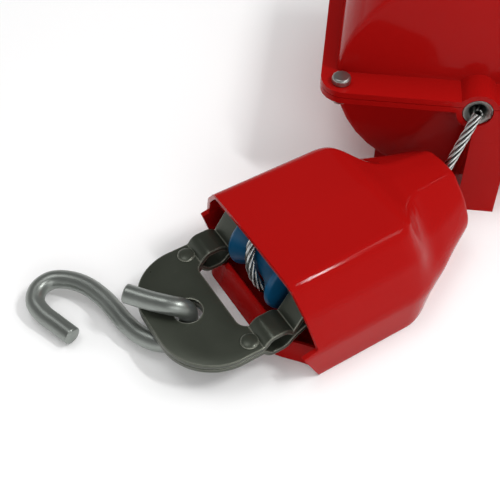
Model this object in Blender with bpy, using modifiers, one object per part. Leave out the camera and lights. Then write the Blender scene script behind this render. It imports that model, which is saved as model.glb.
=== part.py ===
"""Come-along winch: a hook end with its cable eye, and the geared-down hand winch that draws it in.

The hook end lies at the origin. Its pull axis is X, its hook points to -X, its base stands on z = 0.
The winch stands behind it, turned by WINCH_YAW, joined to it by one steel cable.
"""
import math

import bmesh
import bpy
import numpy as np

MM = 0.001

# ---- driving dimensions -------------------------------------------------------------------------
# clearances
GAP = 0.3 * MM                   # between touching pieces
RUNNING = 0.3 * MM               # between a pin and its bore, on the radius
SIDE_PLAY = 0.6 * MM             # between a turning piece and the face beside it

# hook end: cover
COVER_WALL = 2.2 * MM
COVER_MOUTH = -6.5 * MM          # top edge of the mouth
COVER_NOTCH = -1.6 * MM          # foot of the mouth's slanted side edge
COVER_LIP = -9.5 * MM            # tip of each side lip
COVER_CREASE = 57.5 * MM         # rear end of the flat top
COVER_TAIL = 75.0 * MM           # where the narrow tail starts
COVER_END = 100.0 * MM           # rear end
COVER_HALF = 48.0 * MM           # half width at the base
COVER_TOP_HALF = 31.0 * MM       # half width of the flat top
COVER_HEIGHT = 49.0 * MM
TAIL_HEIGHT = 40.0 * MM
TAIL_HALF = 27.0 * MM
LIP_HEIGHT = 20.0 * MM
FRONT_WALL_THICK = 5.5 * MM
FRONT_WALL_HALF = 36.0 * MM
FRONT_WALL_HEIGHT = 14.0 * MM
FRONT_WALL_MIDDLE = 18.5 * MM    # half width of its high middle
COVER_SEAM = 6.0 * MM            # height of the joint between the shells
BOSS_RADIUS = 8.0 * MM
SCREW_RADIUS = 1.8 * MM
SCREW_HEAD = 3.4 * MM
SCREW_X = 74.0 * MM
SCREW_Y = 24.0 * MM
EXIT_RADIUS = 5.6 * MM           # cable hole in the tail

# hook end: cable, spool and axle
CABLE_RADIUS = 2.4 * MM
AXLE_X = 10.0 * MM
AXLE_Z = 27.5 * MM
AXLE_RADIUS = 4.5 * MM
AXLE_HALF = 38.5 * MM
SPOOL_RADIUS = 18.6 * MM
SPOOL_HALF = 17.0 * MM
GROOVE_RADIUS = 13.0 * MM        # floor of the cable's groove
SPACER_RADIUS = 8.5 * MM
SLEEVE_START = 56.0 * MM         # pressed sleeve on the cable's eye
SLEEVE_LENGTH = 20.0 * MM
SLEEVE_WALL = 2.4 * MM

# hook end: frame plates and hook
PLATE = 2.5 * MM
PLATE_MID = 17.5 * MM            # height of the joint between the two plates
PLATE_FRONT = -56.5 * MM
PLATE_HALF = 34.0 * MM
PLATE_CORNER = 26.0 * MM
WINDOW_FRONT = -23.3 * MM
ARM_INNER = 20.8 * MM
ARM_REAR = 29.0 * MM
TUNNEL_X = -12.5 * MM            # middle of the small tunnel in the arms
TUNNEL_RISE = 4.0 * MM
HOOK_HOLE_X = -38.5 * MM
HOOK_HOLE_RADIUS = 6.6 * MM
RIVET_X = -24.0 * MM
RIVET_Y = 28.0 * MM
RIVET_RADIUS = 2.4 * MM
RIVET_HEAD = 4.1 * MM
RIVET_DOME = 1.8 * MM
TAIL_RIVET_X = 25.2 * MM
TAIL_RIVET_RADIUS = 1.8 * MM
TAIL_RIVET_HEAD = 2.9 * MM
HOOK_RADIUS = 4.4 * MM

# winch: where it stands, and its housing, a lying barrel parted at the height of its shaft
WINCH_X = 114.3 * MM
WINCH_Y = -0.3 * MM
WINCH_YAW = math.radians(51.3)
BARREL_FRONT = 24.0 * MM
BARREL_LENGTH = 128.0 * MM
BARREL_HALF = 65.0 * MM          # half width
BARREL_RISE = 61.0 * MM          # half height
BARREL_WALL = 3.0 * MM
SHAFT_X = 84.0 * MM
SHAFT_Z = 60.0 * MM
FLANGE = 3.0 * MM                # thickness of each half's rim
RIM_HALF = 72.0 * MM
RIM_FRONT = 8.0 * MM
RIM_REAR = 166.0 * MM
FOOT_Y = 37.0 * MM
FOOT_WIDTH = 6.0 * MM
COLUMN_WIDTH = 19.0 * MM
COLUMN_EDGE = -2.8 * MM          # the column's left side, under the cable hole
FAIRLEAD_Y = -3.2 * MM
FAIRLEAD_DROP = 2.3 * MM         # below the shaft's height
FAIRLEAD_RADIUS = 7.0 * MM
FAIRLEAD_BORE = 3.8 * MM
FAIRLEAD_LENGTH = 12.0 * MM
BOLT_RADIUS = 2.5 * MM
BOLT_HEAD = 4.6 * MM
BOLT_Y = 62.0 * MM
CRADLE_X = 34.0 * MM             # each cradle rib's distance from the shaft

# winch: drum, shaft, side plates and rear strap
SHAFT_RADIUS = 6.0 * MM
DRUM_FLANGE = 38.0 * MM
DRUM_FLANGE_THICK = 3.0 * MM
DRUM_HALF = 28.0 * MM
LAYER_RADIUS = 26.0 * MM         # plain wound layers under the outer one
WINDING_PITCH = 5.4 * MM
WINDING_TURNS = 8
SIDE_PLATE = 3.0 * MM
SIDE_PLATE_HALF = 47.0 * MM      # half length
SIDE_PLATE_RISE = 29.0 * MM      # half height
ROD_RADIUS = 4.0 * MM
ROD_X = 40.0 * MM                # rods' distance from the shaft
ROD_Z = 22.0 * MM
STRAP_THICK = 6.0 * MM
STRAP_EDGE = 2.3 * MM            # between the rods' holes and the strap's edges
STRAP_HOLE_X = 172.0 * MM
STRAP_HOLE_RADIUS = 7.0 * MM
STRAP_END_RADIUS = 10.5 * MM
REAR_HOOK_RADIUS = 4.2 * MM
REAR_EYE = 10.0 * MM             # rear hook's eye, on the wire's centre line
REAR_BOWL = 13.5 * MM

# winch: ratchets and lever
TEETH = 24
HOLD_WHEEL = 26.0 * MM
DRIVE_WHEEL = 21.0 * MM
TOOTH = 3.2 * MM
HOLD_NOSE = math.radians(104)    # where the holding pawl stands on its wheel
DRIVE_LIFT = math.radians(10)    # the driving pawl's detent holds it off its wheel at rest
WHEEL_THICK = 4.0 * MM
PAWL_REACH = 25.0 * MM           # from its nose to its pin
PAWL_BOSS = 5.5 * MM
PAWL_PIN = 2.5 * MM
SPRING_WIRE = 0.6 * MM           # radius
SPRING_COIL = 4.4 * MM
SPRING_CURLS = 3
DRIVE_FACE = -80.0 * MM          # inner face of the drive wheel
LEVER_THICK = 4.0 * MM
LEVER_LENGTH = 180.0 * MM
LEVER_HALF = 11.0 * MM
LEVER_BOSS = 15.0 * MM
GRIP_LENGTH = 75.0 * MM
GRIP_RADIUS = 12.5 * MM
NUT_RADIUS = 9.5 * MM
NUT_THICK = 6.0 * MM

parts = None
cutters = None


# ---- helpers ------------------------------------------------------------------------------------
def clear_scene():
    for obj in list(bpy.data.objects):
        bpy.data.objects.remove(obj, do_unlink=True)


def collection(name):
    made = bpy.data.collections.new(name)
    bpy.context.scene.collection.children.link(made)
    return made


def material(name, color, roughness, metallic):
    made = bpy.data.materials.new(name)
    made.use_nodes = True
    shader = made.node_tree.nodes["Principled BSDF"]
    shader.inputs["Base Color"].default_value = (*color, 1.0)
    shader.inputs["Roughness"].default_value = roughness
    shader.inputs["Metallic"].default_value = metallic
    made.diffuse_color = (*color, 1.0)
    return made


def empty(name, location=(0, 0, 0), yaw=0.0, parent=None):
    made = bpy.data.objects.new(name, None)
    made.location = location
    made.rotation_euler = (0, 0, yaw)
    made.parent = parent
    parts.objects.link(made)
    return made


def part(name, mesh, look, parent, location=(0, 0, 0), smooth=40):
    made = bpy.data.objects.new(name, mesh)
    made.location = location
    made.parent = parent
    mesh.materials.clear()
    mesh.materials.append(look)
    mesh.shade_smooth()
    mesh.set_sharp_from_angle(angle=math.radians(smooth))
    parts.objects.link(made)
    return made


def tool(name, mesh, parent, location=(0, 0, 0)):
    made = bpy.data.objects.new(name, mesh)
    made.location = location
    made.parent = parent
    made.hide_render = True
    made.display_type = "WIRE"
    cutters.objects.link(made)
    return made


def boolean(obj, operand, operation="DIFFERENCE"):
    mod = obj.modifiers.new(operation.title(), "BOOLEAN")
    mod.operation = operation
    mod.solver = "EXACT"
    mod.object = operand


def mesh_of(bm, name):
    mesh = bpy.data.meshes.new(name)
    bm.normal_update()
    bmesh.ops.recalc_face_normals(bm, faces=bm.faces)
    bm.to_mesh(mesh)
    bm.free()
    return mesh


def box(low, high, name="box"):
    bm = bmesh.new()
    bmesh.ops.create_cube(bm, size=1.0)
    low = np.array(low)
    high = np.array(high)
    bmesh.ops.scale(bm, vec=high - low, verts=bm.verts)
    bmesh.ops.translate(bm, vec=(low + high) / 2, verts=bm.verts)
    return mesh_of(bm, name)


def cylinder(radius, low, high, axis="z", sides=24, name="cylinder"):
    """A round bar along one axis, from low to high on it, round the object's own origin."""
    bm = bmesh.new()
    bmesh.ops.create_cone(bm, cap_ends=True, segments=sides, radius1=radius, radius2=radius,
                          depth=high - low)
    bmesh.ops.translate(bm, vec=(0, 0, (low + high) / 2), verts=bm.verts)
    turn_to(bm, axis)
    return mesh_of(bm, name)


def turn_to(bm, axis):
    """Turn what was made along Z to lie along X or Y."""
    for vert in bm.verts:
        x, y, z = vert.co
        if axis == "x":
            vert.co = (z, x, y)
        elif axis == "y":
            vert.co = (y, z, x)


def evaluated(obj):
    """The mesh of an object with its modifiers or its curve, welded; the object is removed."""
    parts.objects.link(obj)
    view = bpy.context.evaluated_depsgraph_get()
    mesh = bpy.data.meshes.new_from_object(obj.evaluated_get(view))
    bpy.data.objects.remove(obj, do_unlink=True)
    bm = bmesh.new()
    bm.from_mesh(mesh)
    bmesh.ops.remove_doubles(bm, verts=bm.verts, dist=1e-6)
    bm.to_mesh(mesh)
    bm.free()
    return mesh


def turned(profile, steps=32, axis="z", name="turned"):
    """A profile of (radius, height) points, down the outside from the top, turned about an axis."""
    bm = bmesh.new()
    verts = [bm.verts.new((radius, 0, height)) for radius, height in profile]
    for first, second in zip(verts, verts[1:]):
        bm.edges.new((first, second))
    mesh = bpy.data.meshes.new(name)
    bm.to_mesh(mesh)
    bm.free()
    obj = bpy.data.objects.new(name, mesh)
    mod = obj.modifiers.new("Screw", "SCREW")
    mod.steps = steps
    mod.render_steps = steps
    mod.use_merge_vertices = True
    mod.merge_threshold = 1e-6
    made = evaluated(obj)
    bm = bmesh.new()
    bm.from_mesh(made)
    turn_to(bm, axis)
    return mesh_of(bm, name)


def rounded(corners, steps=4):
    """The corners (x, y, radius) of an outline, with each one rounded by an arc."""
    points = []
    count = len(corners)
    for index, (x, y, radius) in enumerate(corners):
        here = np.array((x, y))
        before = np.array(corners[index - 1][:2]) - here
        after = np.array(corners[(index + 1) % count][:2]) - here
        before_length = np.linalg.norm(before)
        after_length = np.linalg.norm(after)
        before = before / before_length
        after = after / after_length
        half = math.acos(max(-1.0, min(1.0, float(before @ after)))) / 2
        reach = radius / math.tan(half)
        if radius <= 0 or half > math.radians(89):
            points.append(here)
            continue
        reach = min(reach, 0.49 * before_length, 0.49 * after_length)
        radius = reach * math.tan(half)
        middle = here + (before + after) / np.linalg.norm(before + after) * radius / math.sin(half)
        start = here + before * reach - middle
        end = here + after * reach - middle
        sweep = math.atan2(start[0] * end[1] - start[1] * end[0], float(start @ end))
        for step in range(steps + 1):
            turn = sweep * step / steps
            c, s = math.cos(turn), math.sin(turn)
            points.append(middle + (start[0] * c - start[1] * s, start[0] * s + start[1] * c))
    return points


def circle(radius, x=0.0, y=0.0, count=24):
    turns = [2 * math.pi * step / count for step in range(count)]
    return [np.array((x + radius * math.cos(t), y + radius * math.sin(t))) for t in turns]


def inset(points, distance):
    """An outline that runs the same way, moved inwards by a distance."""
    points = np.array(points)
    area = sum(a[0] * b[1] - b[0] * a[1] for a, b in zip(points, np.roll(points, -1, axis=0)))
    side = math.copysign(1.0, area)
    moved = []
    for index, here in enumerate(points):
        before = here - points[index - 1]
        after = points[(index + 1) % len(points)] - here
        before = before / np.linalg.norm(before)
        after = after / np.linalg.norm(after)
        first = side * np.array((-before[1], before[0]))
        second = side * np.array((-after[1], after[0]))
        moved.append(here + (first + second) * distance / (1 + first @ second))
    return moved


def outline(loops, name, thick=0.0):
    """A flat piece in XY, from an outer loop and the loops of its holes; thick is along Z, from 0."""
    curve = bpy.data.curves.new(name, "CURVE")
    curve.dimensions = "2D"
    curve.fill_mode = "BOTH"
    curve.extrude = thick / 2
    for loop in loops:
        spline = curve.splines.new("POLY")
        spline.points.add(len(loop) - 1)
        for point, (x, y) in zip(spline.points, loop):
            point.co = (x, y, 0, 1)
        spline.use_cyclic_u = True
    mesh = evaluated(bpy.data.objects.new(name, curve))
    bm = bmesh.new()
    bm.from_mesh(mesh)
    bmesh.ops.dissolve_limit(bm, angle_limit=0.001, verts=bm.verts, edges=bm.edges)
    bmesh.ops.translate(bm, vec=(0, 0, thick / 2), verts=bm.verts)
    bm.to_mesh(mesh)
    bm.free()
    return mesh


def upright(loops, low, high, name):
    """A plate in XZ, given by (x, z) loops, from y = low to y = high."""
    mesh = outline(loops, name, high - low)
    bm = bmesh.new()
    bm.from_mesh(mesh)
    for vert in bm.verts:
        x, z, y = vert.co
        vert.co = (x, low + y, z)
    return mesh_of(bm, name)


def loft(rings, name):
    """A closed skin over rings of equally many (x, y, z) points."""
    bm = bmesh.new()
    rows = [[bm.verts.new(point) for point in ring] for ring in rings]
    for first, second in zip(rows, rows[1:]):
        for index in range(len(first)):
            follow = (index + 1) % len(first)
            bm.faces.new((first[index], first[follow], second[follow], second[index]))
    bmesh.ops.triangulate(bm, faces=bm.faces)
    bm.faces.new(rows[0])
    bm.faces.new(rows[-1])
    return mesh_of(bm, name)


def smooth_route(points, steps):
    """A smooth curve through points (Catmull-Rom), with equal steps between each two of them."""
    points = np.array(points)
    ends = np.vstack([2 * points[0] - points[1], points, 2 * points[-1] - points[-2]])
    route = []
    for a, b, c, d in zip(ends, ends[1:], ends[2:], ends[3:]):
        for step in range(steps):
            t = step / steps
            route.append(b + 0.5 * t * (c - a + t * (2 * a - 5 * b + 4 * c - d + t * (3 * (b - c) + d - a))))
    route.append(points[-1])
    return route


def wire(points, radius, name, resolution=4, closed=False):
    """A round wire along a route."""
    curve = bpy.data.curves.new(name, "CURVE")
    curve.dimensions = "3D"
    curve.bevel_depth = radius
    curve.bevel_resolution = resolution
    curve.use_fill_caps = True
    spline = curve.splines.new("POLY")
    spline.points.add(len(points) - 1)
    for point, place in zip(spline.points, points):
        point.co = (*place, 1)
    spline.use_cyclic_u = closed
    return evaluated(bpy.data.objects.new(name, curve))


# ---- hook end: the moulded cover ----------------------------------------------------------------
def cover_ring(x, base, shoulder, top, height):
    """One cross section; the four numbers blend from the tail's end (0) to the wide front (1)."""
    base = TAIL_HALF * 0.67 + (COVER_HALF - TAIL_HALF * 0.67) * base
    shoulder = TAIL_HALF + (COVER_HALF - TAIL_HALF) * shoulder
    top = TAIL_HALF / 3 + (COVER_TOP_HALF - TAIL_HALF / 3) * top
    height = TAIL_HEIGHT + (COVER_HEIGHT - TAIL_HEIGHT) * height
    lip = LIP_HEIGHT
    bulge = 1.5 * MM
    middle = ((shoulder + top) / 2 + bulge, (lip + height) / 2 + bulge)
    side = [(base, 0, 5 * MM), (shoulder, lip, 14 * MM), (*middle, 20 * MM), (top, height, 4 * MM)]
    other = [(-y, z, radius) for y, z, radius in reversed(side)]
    crown = [(0, height + 0.8 * MM, 0)]
    return x, rounded(side + crown + other, 2)


def cover_rings():
    run = COVER_TAIL - COVER_CREASE
    tail = COVER_END - COVER_TAIL
    return [
        cover_ring(COVER_LIP - 7 * MM, 1, 1, 1, 1),
        cover_ring(COVER_CREASE - 6 * MM, 1, 1, 1, 1),
        cover_ring(COVER_CREASE, 0.93, 0.95, 0.91, 0.95),
        cover_ring(COVER_CREASE + 0.3 * run, 0.83, 0.88, 0.55, 0.7),
        cover_ring(COVER_CREASE + 0.6 * run, 0.7, 0.77, 0.25, 0.4),
        cover_ring(COVER_TAIL, 0.53, 0.67, 0.09, 0.2),
        cover_ring(COVER_TAIL + 0.4 * tail, 0.3, 0.38, 0.05, 0.1),
        cover_ring(COVER_END, 0, 0, 0, 0),
    ]


def cover_outer():
    rings = [[(x, y, z) for y, z in ring] for x, ring in cover_rings()]
    x, last = cover_rings()[-1]
    rings.append([(x + COVER_WALL * 0.8, y, z) for y, z in inset(last, 1.5 * MM)])
    return loft(rings, "cover_outer")


def cover_inner():
    rings = [[(x, y, z) for y, z in inset(ring, COVER_WALL)] for x, ring in cover_rings()]
    rings[0] = [(x - 20 * MM, y, z) for x, y, z in rings[0]]
    rings[-1] = [(x - COVER_WALL, y, z) for x, y, z in rings[-1]]
    return loft(rings, "cover_inner")


def arm_under():
    """Underside of the hook frame's arms where they dip over the front wall."""
    return PLATE_MID - GAP - TUNNEL_RISE - PLATE


def cover_shell(name, look, unit):
    """The whole moulded shell with its mouth, still in one piece; both halves start from it."""
    shell = part(name, cover_outer(), look, unit, smooth=30)
    inner_face = COVER_LIP - 4 * MM + FRONT_WALL_THICK
    cavity = tool(name + "_cavity", cover_inner(), unit)
    low = arm_under() - 2 * GAP
    over = 1 * MM
    side_wall = box((-0.03, -FRONT_WALL_HALF - over, -0.01), (inner_face, FRONT_WALL_HALF + over, low))
    middle_wall = box((-0.03, -FRONT_WALL_MIDDLE, -0.02),
                      (inner_face, FRONT_WALL_MIDDLE, FRONT_WALL_HEIGHT + over))
    boolean(cavity, tool(name + "_side_wall", side_wall, unit))
    boolean(cavity, tool(name + "_middle_wall", middle_wall, unit))
    cut_mouth(shell, name, unit)
    boolean(shell, cavity)
    return shell


def cut_mouth(shell, name, unit):
    above = COVER_HEIGHT + 10 * MM
    edge = [(-0.04, above), (COVER_MOUTH, above), (COVER_MOUTH, COVER_HEIGHT),
            (COVER_NOTCH, LIP_HEIGHT + 0.5 * MM)]
    lip = [(COVER_LIP, LIP_HEIGHT), (0, -1 * MM), (0, -5 * MM), (-0.04, -5 * MM)]
    wall = [(COVER_NOTCH, FRONT_WALL_HEIGHT), (COVER_LIP, FRONT_WALL_HEIGHT),
            (COVER_LIP - 4 * MM, 2 * MM), (COVER_LIP - 5 * MM, -5 * MM), (-0.04, -5 * MM)]
    far = COVER_HALF + 10 * MM
    for side, low, high in (("left", FRONT_WALL_HALF, far), ("right", -far, -FRONT_WALL_HALF)):
        mesh = upright([edge + lip], low, high, "mouth_" + side)
        boolean(shell, tool(name + "_mouth_" + side, mesh, unit))
    mesh = upright([edge + wall], -FRONT_WALL_HALF, FRONT_WALL_HALF, "mouth_middle")
    boolean(shell, tool(name + "_mouth_middle", mesh, unit))


def make_cover(looks, unit):
    far = 0.15
    inner_face = COVER_LIP - 4 * MM + FRONT_WALL_THICK
    outer = tool("cover_solid", cover_outer(), unit)
    posts = SCREW_RADIUS + 2.7 * MM

    upper = cover_shell("end_cover_upper", looks["red"], unit)
    boss_from = PLATE_HALF + SIDE_PLAY
    for side in (-1, 1):
        low, high = sorted((side * boss_from, side * (COVER_HALF - 1 * MM)))
        boss = tool(f"axle_boss_{side}", cylinder(BOSS_RADIUS, low, high, "y"), unit, (AXLE_X, 0, AXLE_Z))
        boolean(boss, outer, "INTERSECT")
        boolean(upper, boss, "UNION")
        post = tool(f"screw_post_{side}", cylinder(posts, COVER_WALL / 2, 0.06, sides=14), unit,
                    (SCREW_X, side * SCREW_Y, 0))
        boolean(post, outer, "INTERSECT")
        boolean(upper, post, "UNION")
    for side in (-1, 1):
        low, high = sorted((side * (boss_from - 1 * MM), side * (AXLE_HALF + 2 * GAP)))
        bore = cylinder(AXLE_RADIUS + RUNNING, low, high, "y")
        boolean(upper, tool(f"axle_bore_{side}", bore, unit, (AXLE_X, 0, AXLE_Z)))
        hole = cylinder(SCREW_RADIUS + GAP, -0.01, 17 * MM, sides=16)
        boolean(upper, tool(f"screw_bore_{side}", hole, unit, (SCREW_X, side * SCREW_Y, 0)))
    exit_hole = cylinder(EXIT_RADIUS, COVER_END - 10 * MM, COVER_END + 10 * MM, "x", 24)
    boolean(upper, tool("cable_exit", exit_hole, unit, (0, 0, exit_height())))
    below = box((-far, -far, -far), (far, far, COVER_SEAM + GAP / 2))
    boolean(upper, tool("below_seam", below, unit))
    front = box((-far, -FRONT_WALL_HALF - GAP, -far),
                (inner_face + GAP, FRONT_WALL_HALF + GAP, LIP_HEIGHT - COVER_WALL))
    boolean(upper, tool("front_wall_space", front, unit))

    lower = cover_shell("end_cover_lower", looks["red"], unit)
    for side in (-1, 1):
        seat = cylinder(posts + 1 * MM, COVER_WALL / 2, 2 * COVER_SEAM, sides=14)
        post = tool(f"screw_seat_{side}", seat, unit, (SCREW_X, side * SCREW_Y, 0))
        boolean(lower, post, "UNION")
        hole = cylinder(SCREW_RADIUS + GAP, -0.01, 0.02, sides=16)
        boolean(lower, tool(f"screw_hole_{side}", hole, unit, (SCREW_X, side * SCREW_Y, 0)))
        sink = cylinder(SCREW_HEAD + GAP, -0.01, 2.6 * MM, sides=14)
        boolean(lower, tool(f"screw_sink_{side}", sink, unit, (SCREW_X, side * SCREW_Y, 0)))
    keep = tool("lower_space", box((-far, -far, -far), (far, far, COVER_SEAM - GAP / 2)), unit)
    kept_half = FRONT_WALL_HALF + GAP
    kept_front = box((-far / 2, -kept_half, -far / 2), (inner_face + GAP, kept_half, 0.03))
    boolean(keep, tool("kept_front", kept_front, unit), "UNION")
    boolean(lower, keep, "INTERSECT")

    for side, name in ((1, "left"), (-1, "right")):
        profile = [(0, 16 * MM), (SCREW_RADIUS, 16 * MM), (SCREW_RADIUS, 2.3 * MM),
                   (SCREW_HEAD, 2.3 * MM), (SCREW_HEAD, 1.0 * MM), (SCREW_HEAD - 1 * MM, 0.3 * MM),
                   (0, 0.3 * MM)]
        part("end_cover_screw_" + name, turned(profile, 12), looks["zinc"], unit,
             (SCREW_X, side * SCREW_Y, 0))


# ---- hook end: axle, spool and cable ------------------------------------------------------------
def loop_radius():
    return GROOVE_RADIUS + GAP + CABLE_RADIUS


def leg_offset():
    """Each of the eye's two legs lies this far from the pull axis inside the sleeve."""
    return CABLE_RADIUS + GAP


def exit_height():
    return AXLE_Z + 1.4 * MM


def make_axle(looks, frame):
    chamfer = 0.8 * MM
    profile = [(0, AXLE_HALF), (AXLE_RADIUS - chamfer, AXLE_HALF), (AXLE_RADIUS, AXLE_HALF - chamfer),
               (AXLE_RADIUS, -AXLE_HALF + chamfer), (AXLE_RADIUS - chamfer, -AXLE_HALF), (0, -AXLE_HALF)]
    part("spool_axle", turned(profile, 20, "y"), looks["zinc"], frame)
    inner = SPOOL_HALF + SIDE_PLAY
    outer = ARM_INNER - GAP
    for side, name in ((1, "left"), (-1, "right")):
        low, high = sorted((side * inner, side * outer))
        bore = AXLE_RADIUS + GAP
        profile = [(bore, high), (SPACER_RADIUS, high), (SPACER_RADIUS, low), (bore, low), (bore, high)]
        part("spacer_" + name, turned(profile, 16, "y"), looks["zinc"], frame)


def make_spool(looks, turning):
    """A waisted spool with a round-bottomed groove, a crowned rim on each side and a through bore."""
    bore = AXLE_RADIUS + RUNNING
    groove = CABLE_RADIUS + GAP
    middle = GROOVE_RADIUS + groove
    shoulder = 4 * MM
    side = []
    for step in range(4):
        turn = math.radians(90 - 30 * step)
        side.append((SPOOL_RADIUS - shoulder + shoulder * math.sin(turn),
                     SPOOL_HALF - shoulder + shoulder * math.cos(turn)))
    rim = list(reversed(side))
    hollow = []
    for step in range(5):
        turn = math.radians(22.5 * step)
        hollow.append((middle - groove * math.sin(turn), groove * math.cos(turn)))
    top = [(bore, SPOOL_HALF), *rim, (SPOOL_RADIUS, groove + 1 * MM), (middle, groove + 0.2 * MM)]
    half = top + hollow
    profile = half + [(radius, -y) for radius, y in reversed(half[:-1])] + [(bore, SPOOL_HALF)]
    part("thimble_spool", turned(profile, 24, "y"), looks["blue"], turning)


def make_cable(looks, unit):
    radius = loop_radius()
    legs = leg_offset()
    mouth = SLEEVE_START - 1 * MM
    reach = mouth - AXLE_X
    rear = SLEEVE_START + SLEEVE_LENGTH
    tilt = math.atan2(legs, reach) + math.acos(radius / math.hypot(reach, legs))
    turns = [tilt + (2 * math.pi - 2 * tilt) * step / 24 for step in range(25)]
    loop = [(AXLE_X + radius * math.cos(t), 0, AXLE_Z + radius * math.sin(t)) for t in turns]
    inside = SLEEVE_START + SLEEVE_LENGTH / 2
    upper = [(inside, 0, AXLE_Z + legs), (mouth, 0, AXLE_Z + legs)]
    lower = [(mouth, 0, AXLE_Z - legs), (rear + 2 * MM, 0, AXLE_Z - legs)]
    part("cable_eye", wire(upper + loop + lower, CABLE_RADIUS, "cable_eye", 2), looks["cable"], unit)

    oval = CABLE_RADIUS + GAP
    around = oval + SLEEVE_WALL
    loops = []
    for size in (around, oval):
        high = legs + size
        loops.append(rounded([(-size, -high, size), (size, -high, size), (size, high, size),
                              (-size, high, size)], 5))
    mesh = outline(loops, "sleeve", SLEEVE_LENGTH)
    bm = bmesh.new()
    bm.from_mesh(mesh)
    turn_to(bm, "x")
    part("cable_sleeve", mesh_of(bm, "cable_sleeve"), looks["alloy"], unit, (SLEEVE_START, 0, AXLE_Z))

    start = (inside + GAP, 0, AXLE_Z + legs)
    # hand-chosen route: along the pull axis, up out of the tail, straight to the winch's cable hole
    run = [start, (rear, 0, AXLE_Z + legs), (0.088, 0, 0.0285), (0.096, -0.0003, 0.0262),
           (0.1005, -0.0006, 0.0276), (0.1045, -0.0004, 0.0330)]
    end = np.array(fairlead_mouth())
    last = np.array(run[-1])
    run.append(tuple(last + (end - last) * 0.33))
    run.append(tuple(last + (end - last) * 0.66))
    run.append(tuple(end))
    route = [run[0]] + smooth_route(run[1:], 4)
    part("cable_run", wire(route, CABLE_RADIUS, "cable_run", 2), looks["cable"], unit)


# ---- hook end: the two frame plates, their rivets and the hook ----------------------------------
def frame_outline():
    corner = 5 * MM
    outer = rounded([
        (PLATE_FRONT, -PLATE_HALF, PLATE_CORNER),
        (ARM_REAR, -PLATE_HALF, corner), (ARM_REAR, -ARM_INNER, corner),
        (WINDOW_FRONT, -ARM_INNER, corner), (WINDOW_FRONT, ARM_INNER, corner),
        (ARM_REAR, ARM_INNER, corner), (ARM_REAR, PLATE_HALF, corner),
        (PLATE_FRONT, PLATE_HALF, PLATE_CORNER)], 5)
    holes = [circle(HOOK_HOLE_RADIUS, HOOK_HOLE_X, 0)]
    for side in (-1, 1):
        holes.append(circle(RIVET_RADIUS + GAP, RIVET_X, side * RIVET_Y, 10))
        holes.append(circle(TAIL_RIVET_RADIUS + GAP, TAIL_RIVET_X, side * RIVET_Y, 10))
    return [outer] + holes


def arm_heights(upper):
    """Where the joint side of a plate runs: (x, z) along the arms, a small tunnel, then the axle."""
    way = 1 if upper else -1
    base = PLATE_MID if upper else PLATE_MID - GAP
    tail = AXLE_Z + 1 * MM
    tail = tail if upper else tail - GAP
    around = AXLE_Z + way * (AXLE_RADIUS + RUNNING)
    low, high = TUNNEL_X - 6.5 * MM, TUNNEL_X + 7.5 * MM
    flat = 5.5 * MM
    return [(PLATE_FRONT - 1 * MM, base), (low, base), (low + 3 * MM, base + way * TUNNEL_RISE),
            (high - 4 * MM, base + way * TUNNEL_RISE), (high, base), (AXLE_X - flat, around),
            (AXLE_X + flat, around), (AXLE_X + flat + 5 * MM, tail), (ARM_REAR + 1 * MM, tail)]


def make_plate(name, upper, looks, frame):
    mesh = outline(frame_outline(), name)
    heights = arm_heights(upper)
    bm = bmesh.new()
    bm.from_mesh(mesh)
    for x, _ in heights[1:-1]:
        whole = list(bm.verts) + list(bm.edges) + list(bm.faces)
        bmesh.ops.bisect_plane(bm, geom=whole, plane_co=(x, 0, 0), plane_no=(1, 0, 0))
    xs = [x for x, _ in heights]
    zs = [z for _, z in heights]
    for vert in bm.verts:
        vert.co.z = float(np.interp(vert.co.x, xs, zs))
        vert.co.x -= AXLE_X
        vert.co.z -= AXLE_Z
    for face in bm.faces:
        face.normal_update()
        if (face.normal.z > 0) != upper:
            face.normal_flip()
    bm.to_mesh(mesh)
    bm.free()
    obj = part(name, mesh, looks["plate"], frame, smooth=30)
    mod = obj.modifiers.new("Solidify", "SOLIDIFY")
    mod.thickness = PLATE
    mod.offset = 1
    mod.use_even_offset = True


def make_rivet(name, x, y, low, high, shank, head, looks, frame):
    """A rivet with a low dome at each end; its heads lie on the plates' outer faces."""
    def dome(z, way):
        return [(head * math.cos(turn), z + way * RIVET_DOME * math.sin(turn))
                for turn in (math.radians(40 * step) for step in range(2))] + [(0, z + way * RIVET_DOME)]
    top = high + GAP
    bottom = low - GAP
    profile = list(reversed(dome(top, 1))) + [(shank, top), (shank, bottom)] + dome(bottom, -1)
    part(name, turned(profile, 12), looks["plate"], frame, (x - AXLE_X, y, -AXLE_Z))


def make_frame(looks, frame):
    make_plate("frame_plate_upper", True, looks, frame)
    make_plate("frame_plate_lower", False, looks, frame)
    tail = AXLE_Z + 1 * MM
    for side, name in ((1, "left"), (-1, "right")):
        make_rivet("front_rivet_" + name, RIVET_X, side * RIVET_Y, PLATE_MID - GAP - PLATE,
                   PLATE_MID + PLATE, RIVET_RADIUS, RIVET_HEAD, looks, frame)
        make_rivet("tail_rivet_" + name, TAIL_RIVET_X, side * RIVET_Y, tail - GAP - PLATE,
                   tail + PLATE, TAIL_RIVET_RADIUS, TAIL_RIVET_HEAD, looks, frame)


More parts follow.
